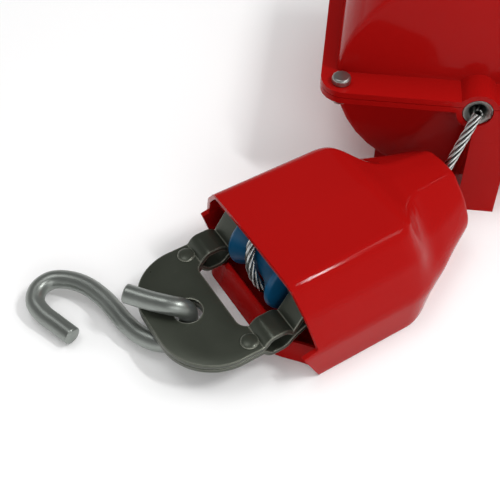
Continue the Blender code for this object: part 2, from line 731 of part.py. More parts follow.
def make_front_hook(looks, pivot):
    """A bent round bar: its eye lies over the plate, drops through the hole and comes back below."""
    # hand-chosen centre line, in millimetres from the middle of the hole at the plates' joint
    route = [(-21.0, 18.5, 9.3), (-13.5, 10.0, 8.2), (-7.0, 3.2, 7.9), (-2.2, 0.4, 5.6), (0.0, 0.0, 0.0),
             (-2.4, -1.6, -6.0), (-8.0, -2.8, -9.2), (-15.0, -0.6, -9.8), (-20.4, 6.6, -9.8),
             (-23.3, 16.0, -9.8), (-24.6, 26.0, -9.6), (-26.2, 35.0, -9.4), (-29.6, 44.6, -9.2),
             (-35.0, 52.2, -9.2), (-42.2, 56.8, -9.4), (-49.4, 55.6, -9.8), (-53.6, 50.0, -10.4),
             (-53.2, 42.6, -11.2), (-50.0, 34.0, -11.9), (-46.4, 24.4, -12.4)]
    points = [np.array(point) * MM for point in route]
    part("front_hook", wire(smooth_route(points, 3), HOOK_RADIUS, "front_hook", 3), looks["steel"], pivot)


# ---- winch: housing -----------------------------------------------------------------------------
def to_world(x, y, z):
    c, s = math.cos(WINCH_YAW), math.sin(WINCH_YAW)
    return WINCH_X + c * x - s * y, WINCH_Y + s * x + c * y, z


def fairlead_z():
    return SHAFT_Z - FAIRLEAD_DROP


def fairlead_mouth():
    """Where the cable turns into the winch: just off the mouth of its fairlead."""
    return to_world(RIM_FRONT - 1.0 * MM, FAIRLEAD_Y, fairlead_z())


def barrel_ring(x, shrink):
    points = []
    for step in range(40):
        turn = 2 * math.pi * step / 40
        y = (BARREL_HALF - shrink) * math.cos(turn)
        z = SHAFT_Z + (BARREL_RISE - shrink) * math.sin(turn)
        points.append((x, y, z))
    return points


def barrel(shrink, name):
    """The housing's drum-shaped body, its end edges eased; shrunk by the wall it is the hollow."""
    start = BARREL_FRONT + shrink
    end = BARREL_FRONT + BARREL_LENGTH - shrink
    ease = 3 * MM
    rings = [barrel_ring(start, shrink + ease), barrel_ring(start + 0.3 * ease, shrink + 0.3 * ease),
             barrel_ring(start + ease, shrink), barrel_ring(end - ease, shrink),
             barrel_ring(end - 0.3 * ease, shrink + 0.3 * ease), barrel_ring(end, shrink + ease)]
    return loft(rings, name)


def rim_plate(low, name):
    corner = 12 * MM
    loop = rounded([(RIM_FRONT, -RIM_HALF, corner), (RIM_REAR, -RIM_HALF, corner),
                    (RIM_REAR, RIM_HALF, corner), (RIM_FRONT, RIM_HALF, corner)], 6)
    mesh = outline([loop], name, FLANGE)
    bm = bmesh.new()
    bm.from_mesh(mesh)
    bmesh.ops.translate(bm, vec=(0, 0, low), verts=bm.verts)
    return mesh_of(bm, name)


def bolt_places():
    front = (RIM_FRONT + BARREL_FRONT) / 2
    rear = (BARREL_FRONT + BARREL_LENGTH + RIM_REAR) / 2
    return {"front_left": (front, BOLT_Y), "front_right": (front, -BOLT_Y),
            "rear_left": (rear, BOLT_Y), "rear_right": (rear, -BOLT_Y)}


def make_housing(looks, unit):
    far = 0.3
    hollow = tool("barrel_hollow", barrel(BARREL_WALL, "barrel_hollow"), unit)
    lead = tool("fairlead_seat", cylinder(FAIRLEAD_RADIUS + GAP, -0.01, BARREL_FRONT + 10 * MM, "x"),
                unit, (0, FAIRLEAD_Y, fairlead_z()))
    notch = tool("shaft_notch", cylinder(SHAFT_RADIUS + 2 * MM, -0.1, 0, "y"), unit, (SHAFT_X, 0, SHAFT_Z))
    slot_half = STRAP_THICK / 2 + GAP
    rear = BARREL_FRONT + BARREL_LENGTH
    slot = tool("strap_slot", box((rear - 10 * MM, -slot_half, SHAFT_Z - 14 * MM),
                                  (rear + 10 * MM, slot_half, SHAFT_Z + 14 * MM)), unit)
    gap = REAR_EYE + REAR_HOOK_RADIUS + 2 * MM
    rear_notch = tool("rear_notch", box((rear + 1 * MM, -gap, SHAFT_Z - 10 * MM),
                                        (RIM_REAR + 10 * MM, gap, SHAFT_Z + 10 * MM)), unit)

    for name, way in (("main_cover_upper", 1), ("main_cover_lower", -1)):
        shell = part(name, barrel(0, name), looks["red"], unit, smooth=30)
        rim_low = SHAFT_Z + GAP / 2 if way > 0 else SHAFT_Z - GAP / 2 - FLANGE
        boolean(shell, tool(name + "_rim", rim_plate(rim_low, name + "_rim"), unit), "UNION")
        if way < 0:
            foot_z = -2 * MM
            lean = [(RIM_FRONT * foot_z / SHAFT_Z, foot_z), (BARREL_FRONT + 6 * MM, foot_z),
                    (BARREL_FRONT + 6 * MM, SHAFT_Z), (RIM_FRONT, SHAFT_Z)]
            column = upright([lean], COLUMN_EDGE - COLUMN_WIDTH, COLUMN_EDGE, "column")
            boolean(shell, tool("column", column, unit), "UNION")
            for side in (-1, 1):
                low, high = sorted((side * (FOOT_Y - FOOT_WIDTH / 2), side * (FOOT_Y + FOOT_WIDTH / 2)))
                foot = box((BARREL_FRONT + 8 * MM, low, foot_z), (rear - 8 * MM, high, 22 * MM))
                boolean(shell, tool(f"foot_{side}", foot, unit), "UNION")
            boolean(shell, tool("floor", box((-far, -far, -far), (far, far, 0)), unit))
        boss = cylinder(FAIRLEAD_RADIUS + 3 * MM, RIM_FRONT, BARREL_FRONT + 6 * MM, "x")
        boolean(shell, tool(name + "_lead_boss", boss, unit, (0, FAIRLEAD_Y, fairlead_z())), "UNION")
        if way < 0:
            pocket = tool("column_pocket", box((3 * MM, COLUMN_EDGE - COLUMN_WIDTH + 2.5 * MM, -0.01),
                                               (BARREL_FRONT - 1 * MM, COLUMN_EDGE - 2.5 * MM, 0.04)), unit)
            boolean(shell, pocket)
        inside = tool(name + "_hollow", hollow.data, unit)
        for side in (-1, 1):
            x = SHAFT_X + side * CRADLE_X
            edge = SHAFT_Z + way * (SIDE_PLATE_RISE + GAP)
            low, high = sorted((edge, edge + way * far))
            rib = box((x - 2 * MM, -far, low), (x + 2 * MM, far, high))
            boolean(inside, tool(f"{name}_rib_{side}", rib, unit))
        boolean(shell, inside)
        for cutter in (lead, notch, slot, rear_notch):
            boolean(shell, cutter)
        for place, (x, y) in bolt_places().items():
            hole = cylinder(BOLT_RADIUS + GAP, SHAFT_Z - 0.02, SHAFT_Z + 0.02, sides=16)
            boolean(shell, tool(f"{name}_{place}", hole, unit, (x, y, 0)))
        low, high = (-far, SHAFT_Z - GAP / 2) if way > 0 else (SHAFT_Z - GAP / 2, far)
        if way > 0:
            high = SHAFT_Z + GAP / 2
        boolean(shell, tool(name + "_other_half", box((-far, -far, low), (far, far, high)), unit))

    for place, (x, y) in bolt_places().items():
        top = SHAFT_Z + GAP / 2 + FLANGE + GAP
        bottom = SHAFT_Z - GAP / 2 - FLANGE - GAP
        head = 3.5 * MM
        profile = [(0, top + head), (BOLT_HEAD - 0.7 * MM, top + head), (BOLT_HEAD, top + head - 0.7 * MM),
                   (BOLT_HEAD, top), (BOLT_RADIUS, top), (BOLT_RADIUS, bottom), (BOLT_HEAD, bottom),
                   (BOLT_HEAD, bottom - head), (0, bottom - head)]
        part("cover_bolt_" + place, turned(profile, 12), looks["zinc"], unit, (x, y, 0))


def make_fairlead(looks, unit):
    """A bush with a trumpet mouth, so that the cable can come in from either side."""
    rear = RIM_FRONT + FAIRLEAD_LENGTH
    bore = FAIRLEAD_BORE
    trumpet = 3.0 * MM
    mouth = []
    for step in range(5):
        turn = math.radians(22.5 * step)
        mouth.append((bore + trumpet * (1 - math.cos(turn)), RIM_FRONT + trumpet * (1 - math.sin(turn))))
    profile = [(bore, rear), (FAIRLEAD_RADIUS, rear), (FAIRLEAD_RADIUS, RIM_FRONT)] + \
              list(reversed(mouth)) + [(bore, rear)]
    clean = [profile[0]]
    for point in profile[1:]:
        if math.dist(point, clean[-1]) > 1e-7:
            clean.append(point)
    part("fairlead", turned(clean, 16, "x"), looks["steel"], unit, (0, FAIRLEAD_Y, fairlead_z()))


# ---- winch: inner frame -------------------------------------------------------------------------
def plate_inner():
    return DRUM_HALF + SIDE_PLAY


def rod_places():
    return {"front_lower": (-ROD_X, -ROD_Z), "front_upper": (-ROD_X, ROD_Z),
            "rear_lower": (ROD_X, -ROD_Z), "rear_upper": (ROD_X, ROD_Z)}


def holding_pivot():
    return pawl_pivot(HOLD_WHEEL, HOLD_NOSE)


def drive_pivot():
    return pawl_pivot(DRIVE_WHEEL, drive_nose())


def make_inner_frame(looks, unit):
    half, rise = SIDE_PLATE_HALF, SIDE_PLATE_RISE
    for side, name in ((1, "left"), (-1, "right")):
        loops = [rounded([(-half, -rise, 9 * MM), (half, -rise, 9 * MM), (half, rise, 9 * MM),
                          (-half, rise, 9 * MM)], 3)]
        loops.append(circle(SHAFT_RADIUS + RUNNING, 0, 0, 24))
        for x, z in rod_places().values():
            loops.append(circle(ROD_RADIUS * 0.7 + GAP, x, z, 10))
        if side < 0:
            x, z = holding_pivot()
            loops.append(circle(PAWL_PIN + GAP, x, z, 12))
        low, high = sorted((side * plate_inner(), side * (plate_inner() + SIDE_PLATE)))
        part("side_plate_" + name, upright(loops, low, high, name), looks["steel"], unit,
             (SHAFT_X, 0, SHAFT_Z))

    inner = plate_inner() - GAP
    outer = plate_inner() + SIDE_PLATE + 1.5 * MM
    thin = ROD_RADIUS * 0.7
    for name, (x, z) in rod_places().items():
        profile = [(0, outer), (thin, outer), (thin, inner), (ROD_RADIUS, inner), (ROD_RADIUS, -inner),
                   (thin, -inner), (thin, -outer), (0, -outer)]
        part("tie_rod_" + name, turned(profile, 12, "y"), looks["steel"], unit,
             (SHAFT_X + x, 0, SHAFT_Z + z))

    hole = STRAP_HOLE_X - SHAFT_X
    front = winding_radius() + CABLE_RADIUS + STRAP_EDGE
    end = STRAP_END_RADIUS
    waist = BARREL_FRONT + BARREL_LENGTH - BARREL_WALL - SHAFT_X - 5 * MM
    high = ROD_Z + ROD_RADIUS + STRAP_EDGE
    loops = [rounded([(front, -high, 3 * MM), (ROD_X + 6 * MM, -high, 4 * MM),
                      (waist, -end - 2 * MM, 8 * MM), (hole + end, -end, end - 1 * MM),
                      (hole + end, end, end - 1 * MM), (waist, end + 2 * MM, 8 * MM),
                      (ROD_X + 6 * MM, high, 4 * MM), (front, high, 3 * MM)], 4),
             circle(STRAP_HOLE_RADIUS, hole, 0, 24)]
    for z in (-ROD_Z, ROD_Z):
        loops.append(circle(ROD_RADIUS + GAP, ROD_X, z, 16))
    part("rear_strap", upright(loops, -STRAP_THICK / 2, STRAP_THICK / 2, "rear_strap"), looks["steel"],
         unit, (SHAFT_X, 0, SHAFT_Z))


def rear_hook_height():
    """Height of the eye's bar where it bears on the lower edge of the strap's hole."""
    inside = REAR_EYE - REAR_HOOK_RADIUS
    sag = inside - math.sqrt(inside ** 2 - (STRAP_THICK / 2 + GAP) ** 2)
    return SHAFT_Z - STRAP_HOLE_RADIUS + REAR_HOOK_RADIUS + GAP + sag


def make_rear_hook(looks, pivot):
    """A round bar: a closed eye through the strap's hole, a shank and an open bowl, hanging free."""
    eye = REAR_EYE
    bowl = REAR_BOWL
    shank = eye * 0.25
    bowl_z = bowl + REAR_HOOK_RADIUS + 1.5 * MM - rear_hook_height()
    route = []
    for step in range(19):
        turn = math.radians(-42 + 292 * step / 18)
        route.append((0, eye * math.cos(turn), -eye + eye * math.sin(turn)))
    bow = []
    for step in range(15):
        turn = math.radians(155 + 225 * step / 14)
        bow.append((0, shank + bowl * math.cos(turn), bowl_z + bowl * math.sin(turn)))
    last, first = np.array(route[-1]), np.array(bow[0])
    route += [tuple(last + (first - last) * share) for share in (0.35, 0.65)]
    part("rear_hook", wire(route + bow, REAR_HOOK_RADIUS, "rear_hook", 3), looks["steel"], pivot)


# ---- winch: drum and shaft ----------------------------------------------------------------------
def winding_radius():
    return LAYER_RADIUS + GAP + CABLE_RADIUS


def make_drum(looks, turning):
    bore = SHAFT_RADIUS + GAP
    inner = DRUM_HALF - DRUM_FLANGE_THICK
    edge = 1 * MM
    half = [(DRUM_FLANGE - edge, DRUM_HALF), (DRUM_FLANGE, DRUM_HALF - edge), (DRUM_FLANGE, inner + edge),
            (DRUM_FLANGE - edge, inner), (LAYER_RADIUS, inner)]
    profile = [(bore, DRUM_HALF)] + half + [(r, -y) for r, y in reversed(half)] + \
              [(bore, -DRUM_HALF), (bore, DRUM_HALF)]
    part("drum", turned(profile, 28, "y"), looks["steel"], turning)

    shaft_left = plate_inner() + SIDE_PLATE + 5 * MM
    shaft_right = lever_outer() - GAP - NUT_THICK - 2 * MM
    edge = 0.8 * MM
    profile = [(0, shaft_left), (SHAFT_RADIUS - edge, shaft_left), (SHAFT_RADIUS, shaft_left - edge),
               (SHAFT_RADIUS, shaft_right + edge), (SHAFT_RADIUS - edge, shaft_right), (0, shaft_right)]
    part("drum_shaft", turned(profile, 16, "y"), looks["zinc"], turning)

    radius = winding_radius()
    points = []
    count = 24 * WINDING_TURNS
    start = math.radians(90)
    for step in range(count + 1):
        turn = start - 2 * math.pi * step / 24
        y = WINDING_PITCH * (step / 24 - WINDING_TURNS / 2)
        points.append(np.array((radius * math.cos(turn), y, radius * math.sin(turn))))
    # both ends leave along their tangent for one cable diameter
    tangent = np.array((math.sin(start), 0, -math.cos(start)))
    first = points[0] - tangent * 2 * CABLE_RADIUS
    last = points[-1] + tangent * 2 * CABLE_RADIUS
    points = [first] + points + [last]
    part("cable_winding", wire(points, CABLE_RADIUS, "cable_winding", 1), looks["cable"], turning)
    pitch_at_angle = WINDING_PITCH * radius / math.hypot(radius, WINDING_PITCH / (2 * math.pi))
    print("cable_winding: least gap to itself", round((pitch_at_angle - 2 * CABLE_RADIUS) / MM, 3), "mm")


def make_drum_lead(looks, unit):
    """The stretch from the fairlead towards the top of the winding; it ends clear of the turns."""
    start = np.array((RIM_FRONT + 4 * MM, fairlead_z()))
    middle = np.array((SHAFT_X, SHAFT_Z))
    away = np.linalg.norm(middle - start)
    reach = math.sqrt(away ** 2 - winding_radius() ** 2)
    lift = math.atan2(middle[1] - start[1], middle[0] - start[0]) + math.asin(winding_radius() / away)
    clear = math.sqrt((winding_radius() + 2 * CABLE_RADIUS + GAP) ** 2 - winding_radius() ** 2)
    way = np.array((math.cos(lift), math.sin(lift)))
    bend = start + np.array((9 * MM, 0))
    end = start + way * (reach - clear)
    route = smooth_route([(start[0], FAIRLEAD_Y, start[1]), (bend[0], FAIRLEAD_Y, bend[1]),
                          ((bend[0] + end[0]) / 2, FAIRLEAD_Y, (bend[1] + end[1]) / 2 - 1 * MM),
                          (end[0], FAIRLEAD_Y, end[1])], 3)
    part("drum_lead", wire(route, CABLE_RADIUS, "drum_lead", 2), looks["cable"], unit)


# ---- winch: ratchets ----------------------------------------------------------------------------
def wheel_loop(radius, phase):
    """Saw teeth: each has one steep side, on the radius, that faces anticlockwise seen from -Y."""
    loop = []
    pitch = 2 * math.pi / TEETH
    for tooth in range(TEETH):
        turn = phase + tooth * pitch
        for size, angle in ((radius - TOOTH, turn + 0.02 * pitch), (radius - TOOTH, turn + 0.25 * pitch),
                            (radius - 0.2 * MM, turn + 0.93 * pitch), (radius - 0.2 * MM, turn + pitch)):
            loop.append(np.array((size * math.cos(angle), size * math.sin(angle))))
    return loop


def pawl_pivot(radius, nose):
    """The pin lies PAWL_REACH along the wheel's tangent from the nose's seat."""
    seat = radius - TOOTH / 2
    return (seat * math.cos(nose) - PAWL_REACH * math.sin(nose),
            seat * math.sin(nose) + PAWL_REACH * math.cos(nose))


def pawl_loop(radius, nose):
    """A pawl's outline round its own pin: boss, tapered body, and a nose that stands on a tooth."""
    c, s = math.cos(nose), math.sin(nose)
    seat = radius - TOOTH / 2
    clear = 2 * GAP

    def at(out, along):
        """out: from the wheel's centre; along: its tangent, towards the pin; then round the pin."""
        out -= seat
        along -= PAWL_REACH
        return out * c - along * s, out * s + along * c

    tip = radius - TOOTH + clear
    high = radius + 6 * MM
    corners = [(*at(tip, clear), 0), (*at(tip, clear + 1.0 * MM), 0), (*at(radius + clear, 6.4 * MM), 0),
               (*at(seat - PAWL_BOSS + 2 * MM + TOOTH * 1.2, PAWL_REACH * 0.55), 0)]
    boss = []
    for step in range(9):
        turn = math.radians(-110 + 220 * step / 8)
        boss.append((*at(seat + PAWL_BOSS * math.sin(turn), PAWL_REACH + PAWL_BOSS * math.cos(turn)), 0))
    corners += boss
    corners += [(*at(high + 1.5 * MM, PAWL_REACH * 0.5), 0), (*at(high - 1 * MM, clear + 2 * MM), 0),
                (*at(high - 3 * MM, clear), 0)]
    return [np.array(corner[:2]) for corner in corners]


def drive_nose():
    """The angle of the drive pawl's seat that brings its pin onto the lever's middle line."""
    return -math.atan2(PAWL_REACH, DRIVE_WHEEL - TOOTH / 2)


def drive_wheel_faces():
    return DRIVE_FACE - WHEEL_THICK, DRIVE_FACE


def lever_inner():
    return DRIVE_FACE - WHEEL_THICK - SIDE_PLAY


def lever_outer():
    return lever_inner() - LEVER_THICK


def hold_wheel_faces():
    inner = -(plate_inner() + SIDE_PLATE + SIDE_PLAY)
    return inner - WHEEL_THICK, inner


def make_wheels(looks, turning):
    low, high = hold_wheel_faces()
    bore = circle(SHAFT_RADIUS + GAP, 0, 0, 24)
    loops = [wheel_loop(HOLD_WHEEL, HOLD_NOSE), bore]
    part("ratchet_wheel", upright(loops, low, high, "ratchet_wheel"), looks["steel"], turning)
    low, high = drive_wheel_faces()
    loops = [wheel_loop(DRIVE_WHEEL, drive_nose()), bore]
    part("drive_wheel", upright(loops, low, high, "drive_wheel"), looks["zinc"], turning)
    outer = lever_outer() - GAP
    hexagon = [np.array((NUT_RADIUS * math.cos(t), NUT_RADIUS * math.sin(t)))
               for t in (math.radians(60 * step) for step in range(6))]
    nut = upright([hexagon, circle(SHAFT_RADIUS + GAP, 0, 0, 24)], outer - NUT_THICK, outer, "nut")
    part("shaft_nut", nut, looks["zinc"], turning)


def make_pawl(name, radius, nose, faces, looks, pivot):
    loops = [pawl_loop(radius, nose), circle(PAWL_PIN + RUNNING, 0, 0, 16)]
    low, high = faces
    part(name, upright(loops, low + 0.2 * MM, high - 0.2 * MM, name), looks["zinc"], pivot)


def coil_spring(name, low, high, looks, parent, location):
    """A torsion spring round a pin: close curls and two short straight legs."""
    points = []
    count = 8 * SPRING_CURLS
    for step in range(count + 1):
        turn = 2 * math.pi * step / 8
        y = low + SPRING_WIRE + (high - low - 2 * SPRING_WIRE) * step / count
        points.append(np.array((SPRING_COIL * math.cos(turn), y, SPRING_COIL * math.sin(turn))))
    leg = 5 * MM
    points.insert(0, points[0] + np.array((0, 0, -leg)))
    points.append(points[-1] + np.array((0, 0, leg)))
    part(name, wire(points, SPRING_WIRE, name, 1), looks["steel"], parent, location)


def make_holding_pawl(looks, unit, pivot):
    make_pawl("holding_pawl", HOLD_WHEEL, HOLD_NOSE, hold_wheel_faces(), looks, pivot)
    x, z = holding_pivot()
    place = (SHAFT_X + x, 0, SHAFT_Z + z)
    low, high = hold_wheel_faces()
    end = low - SIDE_PLAY - 5 * MM
    head = PAWL_PIN + 1.6 * MM
    root = -(plate_inner() + GAP)
    profile = [(0, root), (PAWL_PIN, root), (PAWL_PIN, end), (head, end), (head, end - 1.6 * MM),
               (0, end - 1.6 * MM)]
    part("holding_pawl_pin", turned(profile, 16, "y"), looks["zinc"], unit, place)
    coil_spring("holding_pawl_spring", end + GAP, low - GAP, looks, unit, place)


def make_lever(looks, lever, pivot):
    inner, outer = lever_inner(), lever_outer()
    x, z = drive_pivot()
    boss, half, length = LEVER_BOSS, LEVER_HALF, LEVER_LENGTH
    thin = half * 0.75
    neck = LEVER_LENGTH - GRIP_LENGTH - 12 * MM
    loops = [rounded([(-boss, -boss, boss - 0.5 * MM), (boss, -boss, 10 * MM),
                      (boss + 25 * MM, -half, 20 * MM), (neck, -thin, 20 * MM), (length, -thin, 6 * MM), (length, thin, 6 * MM),
                      (neck, thin, 20 * MM), (boss + 25 * MM, half, 20 * MM), (boss, boss, 10 * MM),
                      (-boss, boss, boss - 0.5 * MM)], 4),
             circle(SHAFT_RADIUS + RUNNING, 0, 0, 24), circle(PAWL_PIN + GAP, x, z, 16)]
    part("lever_arm", upright(loops, outer, inner, "lever_arm"), looks["plate"], lever)

    middle = (inner + outer) / 2
    start, end = LEVER_LENGTH - GRIP_LENGTH, LEVER_LENGTH + 6 * MM
    profile = [(0, end), (GRIP_RADIUS * 0.7, end), (GRIP_RADIUS, end - 4 * MM),
               (GRIP_RADIUS, end - 10 * MM), (GRIP_RADIUS * 0.88, end - 28 * MM),
               (GRIP_RADIUS * 0.92, start + 12 * MM), (GRIP_RADIUS * 1.1, start + 3 * MM),
               (GRIP_RADIUS * 0.95, start), (0, start)]
    grip = part("lever_grip", turned(profile, 20, "x"), looks["black"], lever, (0, middle, 0))
    slot_half = LEVER_THICK / 2 + GAP
    slot_rise = half * 0.75 + GAP
    slot = box((start - 10 * MM, -slot_half, -slot_rise), (LEVER_LENGTH + GAP, slot_half, slot_rise))
    boolean(grip, tool("grip_slot", slot, lever, (0, middle, 0)))

    make_pawl("drive_pawl", DRIVE_WHEEL, drive_nose(), drive_wheel_faces(), looks, pivot)
    low, high = drive_wheel_faces()
    inboard = high + SIDE_PLAY + 5 * MM
    outboard = outer - GAP
    head = PAWL_PIN + 1.6 * MM
    profile = [(0, inboard + 1.4 * MM), (head, inboard + 1.4 * MM), (head, inboard), (PAWL_PIN, inboard),
               (PAWL_PIN, outboard), (head, outboard), (head, outboard - 1.6 * MM), (0, outboard - 1.6 * MM)]
    part("drive_pawl_pin", turned(profile, 16, "y"), looks["zinc"], lever, (x, 0, z))
    coil_spring("drive_pawl_spring", high + GAP, inboard - GAP, looks, lever, (x, 0, z))


# ---- the whole winch ----------------------------------------------------------------------------
clear_scene()
parts = collection("come_along_winch")
cutters = collection("cutters")
looks = {
    "red": material("red moulding", (0.36, 0.006, 0.005), 0.22, 0.0),
    "blue": material("blue spool", (0.0, 0.16, 0.36), 0.3, 0.0),
    "plate": material("dark plated steel", (0.045, 0.055, 0.047), 0.32, 0.9),
    "steel": material("grey steel", (0.2, 0.21, 0.2), 0.35, 0.95),
    "zinc": material("zinc plated steel", (0.45, 0.45, 0.43), 0.35, 0.95),
    "alloy": material("alloy sleeve", (0.55, 0.55, 0.56), 0.4, 0.95),
    "cable": material("steel cable", (0.5, 0.5, 0.48), 0.35, 0.95),
    "black": material("black grip", (0.015, 0.015, 0.015), 0.7, 0.0),
}

hook_end = empty("hook_end_unit")
make_cover(looks, hook_end)
make_cable(looks, hook_end)
hook_frame = empty("hook_frame_pivot", (AXLE_X, 0, AXLE_Z), parent=hook_end)
make_axle(looks, hook_frame)
make_frame(looks, hook_frame)
make_spool(looks, empty("spool_pivot", (AXLE_X, 0, AXLE_Z), parent=hook_end))
make_front_hook(looks, empty("front_hook_pivot", (HOOK_HOLE_X, 0, PLATE_MID), parent=hook_end))

winch = empty("winch_unit", (WINCH_X, WINCH_Y, 0), WINCH_YAW)
make_housing(looks, winch)
make_fairlead(looks, winch)
make_inner_frame(looks, winch)
make_drum_lead(looks, winch)
make_rear_hook(looks, empty("rear_hook_pivot", (STRAP_HOLE_X, 0, rear_hook_height()), parent=winch))
shaft = empty("shaft_pivot", (SHAFT_X, 0, SHAFT_Z), parent=winch)
make_drum(looks, shaft)
make_wheels(looks, shaft)
x, z = holding_pivot()
make_holding_pawl(looks, winch, empty("holding_pawl_pivot", (SHAFT_X + x, 0, SHAFT_Z + z), parent=winch))
lever = empty("lever_pivot", (SHAFT_X, 0, SHAFT_Z), parent=winch)
x, z = drive_pivot()
drive_pivot_empty = empty("drive_pawl_pivot", (x, 0, z), parent=lever)
drive_pivot_empty.rotation_euler = (0, -DRIVE_LIFT, 0)
make_lever(looks, lever, drive_pivot_empty)
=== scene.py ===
"""A come-along winch: the red hook end in front, its steel cable, and the hand winch behind it."""
import math

import bmesh
import bpy
import numpy as np
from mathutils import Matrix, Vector


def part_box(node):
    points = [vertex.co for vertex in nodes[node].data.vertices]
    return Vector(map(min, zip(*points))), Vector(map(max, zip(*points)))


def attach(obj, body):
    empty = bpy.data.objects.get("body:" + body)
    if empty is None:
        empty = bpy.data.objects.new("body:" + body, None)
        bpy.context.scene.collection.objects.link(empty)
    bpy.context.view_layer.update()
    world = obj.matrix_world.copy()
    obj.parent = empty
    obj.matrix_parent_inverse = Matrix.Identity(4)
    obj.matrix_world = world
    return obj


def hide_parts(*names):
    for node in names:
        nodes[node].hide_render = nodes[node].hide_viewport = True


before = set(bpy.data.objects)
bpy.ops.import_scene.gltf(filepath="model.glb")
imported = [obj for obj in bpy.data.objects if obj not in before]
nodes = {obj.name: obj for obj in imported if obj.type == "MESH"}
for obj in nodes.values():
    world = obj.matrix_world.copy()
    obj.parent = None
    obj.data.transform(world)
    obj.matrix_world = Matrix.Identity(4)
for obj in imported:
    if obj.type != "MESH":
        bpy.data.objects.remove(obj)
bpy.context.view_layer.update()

# ---- camera --------------------------------------------------------------------------------------
# The view looks about 50 degrees down at the hook end, from in front of it and to its right, so that
# the open mouth, the flat top and the right side all show.
CAMERA_PLACE = (-0.1296, -0.2009, 0.3233)
CAMERA_LOOK = (0.3368, 0.5475, -0.7660)
FOCAL_MM = 61.2
PIXEL = 1 / 500                  # of the frame's width

camera_data = bpy.data.cameras.new("camera")
camera_data.lens = FOCAL_MM
camera_data.sensor_width = 36.0
camera_data.shift_x = -1.0 * PIXEL
camera_data.shift_y = -1.5 * PIXEL
camera_data.clip_start = 0.01
camera = bpy.data.objects.new("camera", camera_data)
camera.location = CAMERA_PLACE
camera.rotation_mode = "QUATERNION"
camera.rotation_quaternion = Vector(CAMERA_LOOK).to_track_quat("-Z", "Y")
bpy.context.scene.collection.objects.link(camera)
bpy.context.scene.camera = camera
bpy.context.scene.view_settings.view_transform = "Standard"

# ---- floor and light -----------------------------------------------------------------------------
# A plain white table top under soft studio light. A square key lamp stands high to the right and a
# wider one above, a narrow one draws the bright streak along the top, and a broad low one lights the
# front.


def node_maker(tree):
    """Returns a function that adds a node with its settings. It sets each socket it is given by name,
    or by number as _0, to a value, or joins it to the output given as (node, output)."""
    def add(kind, settings=(), **sockets):
        made = tree.nodes.new(kind)
        for name, value in dict(settings).items():
            setattr(made, name, value)
        for name, value in sockets.items():
            socket = made.inputs[int(name[1:]) if name[1:].isdigit() else name.replace("_", " ")]
            if isinstance(value, tuple) and isinstance(value[0], bpy.types.Node):
                tree.links.new(value[0].outputs[value[1]], socket)
            else:
                socket.default_value = value
        return made
    return add


def connect(node, **sources):
    """Joins a node's inputs, each given by name, to the outputs given as (node, output)."""
    for socket, (source, output) in sources.items():
        node.id_data.links.new(source.outputs[output], node.inputs[socket.replace("_", " ")])


def ramp(add, source, stops):
    """A colour ramp over (place, colour) stops, where a colour is one grey or three numbers."""
    made = add("ShaderNodeValToRGB", Fac=source)
    cells = made.color_ramp.elements
    while len(cells) < len(stops):
        cells.new(0.5)
    for cell, (place, colour) in zip(cells, stops):
        cell.position = place
        cell.color = (*colour, 1) if isinstance(colour, tuple) else (colour, colour, colour, 1)
    return made


FLOOR_HALF = 3.0
floor_mesh = bpy.data.meshes.new("floor")
floor_mesh.from_pydata([(-FLOOR_HALF, -FLOOR_HALF, 0), (FLOOR_HALF, -FLOOR_HALF, 0),
                        (FLOOR_HALF, FLOOR_HALF, 0), (-FLOOR_HALF, FLOOR_HALF, 0)], [], [(0, 1, 2, 3)])
floor = bpy.data.objects.new("floor", floor_mesh)
bpy.context.scene.collection.objects.link(floor)


def material(name, **constants):
    """A material with its Principled shader's own sockets set; returns it, the shader and a node maker
    for what varies over the surface."""
    made = bpy.data.materials.new(name)
    made.use_nodes = True
    shader = made.node_tree.nodes["Principled BSDF"]
    for socket, value in constants.items():
        shader.inputs[socket.replace("_", " ")].default_value = value
    return made, shader, node_maker(made.node_tree)


white = material("white table top", Base_Color=(0.97, 0.97, 0.97, 1), Roughness=0.55,
                 Specular_IOR_Level=0.2)[0]
floor_mesh.materials.append(white)

world = bpy.data.worlds.new("studio")
world.use_nodes = True
bpy.context.scene.world = world
world.node_tree.nodes.clear()
add = node_maker(world.node_tree)
path = add("ShaderNodeLightPath")
place = add("ShaderNodeTexCoord")
height = add("ShaderNodeSeparateXYZ", Vector=(place, "Generated"))
dome = ramp(add, (height, "Z"), [(0.0, 1.0), (0.06, 0.9), (0.3, 0.32), (0.6, 0.12), (1.0, 0.08)])
soft = add("ShaderNodeBackground", Color=(0.62, 0.62, 0.62, 1), Strength=1.0)
clear = add("ShaderNodeBackground", Color=(1, 1, 1, 1), Strength=1.0)
mirrored = add("ShaderNodeBackground", Color=(dome, "Color"), Strength=1.0)
seen = add("ShaderNodeMath", {"operation": "MAXIMUM"}, _0=(path, "Is Camera Ray"),
           _1=(path, "Is Transmission Ray"))
lighting = add("ShaderNodeMixShader", _0=(path, "Is Glossy Ray"), _1=(soft, "Background"),
               _2=(mirrored, "Background"))
sky = add("ShaderNodeMixShader", _0=(seen, "Value"), _1=(lighting, "Shader"), _2=(clear, "Background"))
add("ShaderNodeOutputWorld", Surface=(sky, "Shader"))


def lamp(name, place, aim, width, height, watts, turn=0.0):
    """A rectangular lamp at a place, pointing at another, turned about its own beam."""
    data = bpy.data.lights.new(name, "AREA")
    data.shape = "RECTANGLE"
    data.size = width
    data.size_y = height
    data.energy = watts
    made = bpy.data.objects.new(name, data)
    made.location = place
    beam = Vector(aim) - Vector(place)
    made.rotation_euler = beam.to_track_quat("-Z", "Y").to_euler()
    made.rotation_euler.rotate_axis("Z", turn)
    bpy.context.scene.collection.objects.link(made)


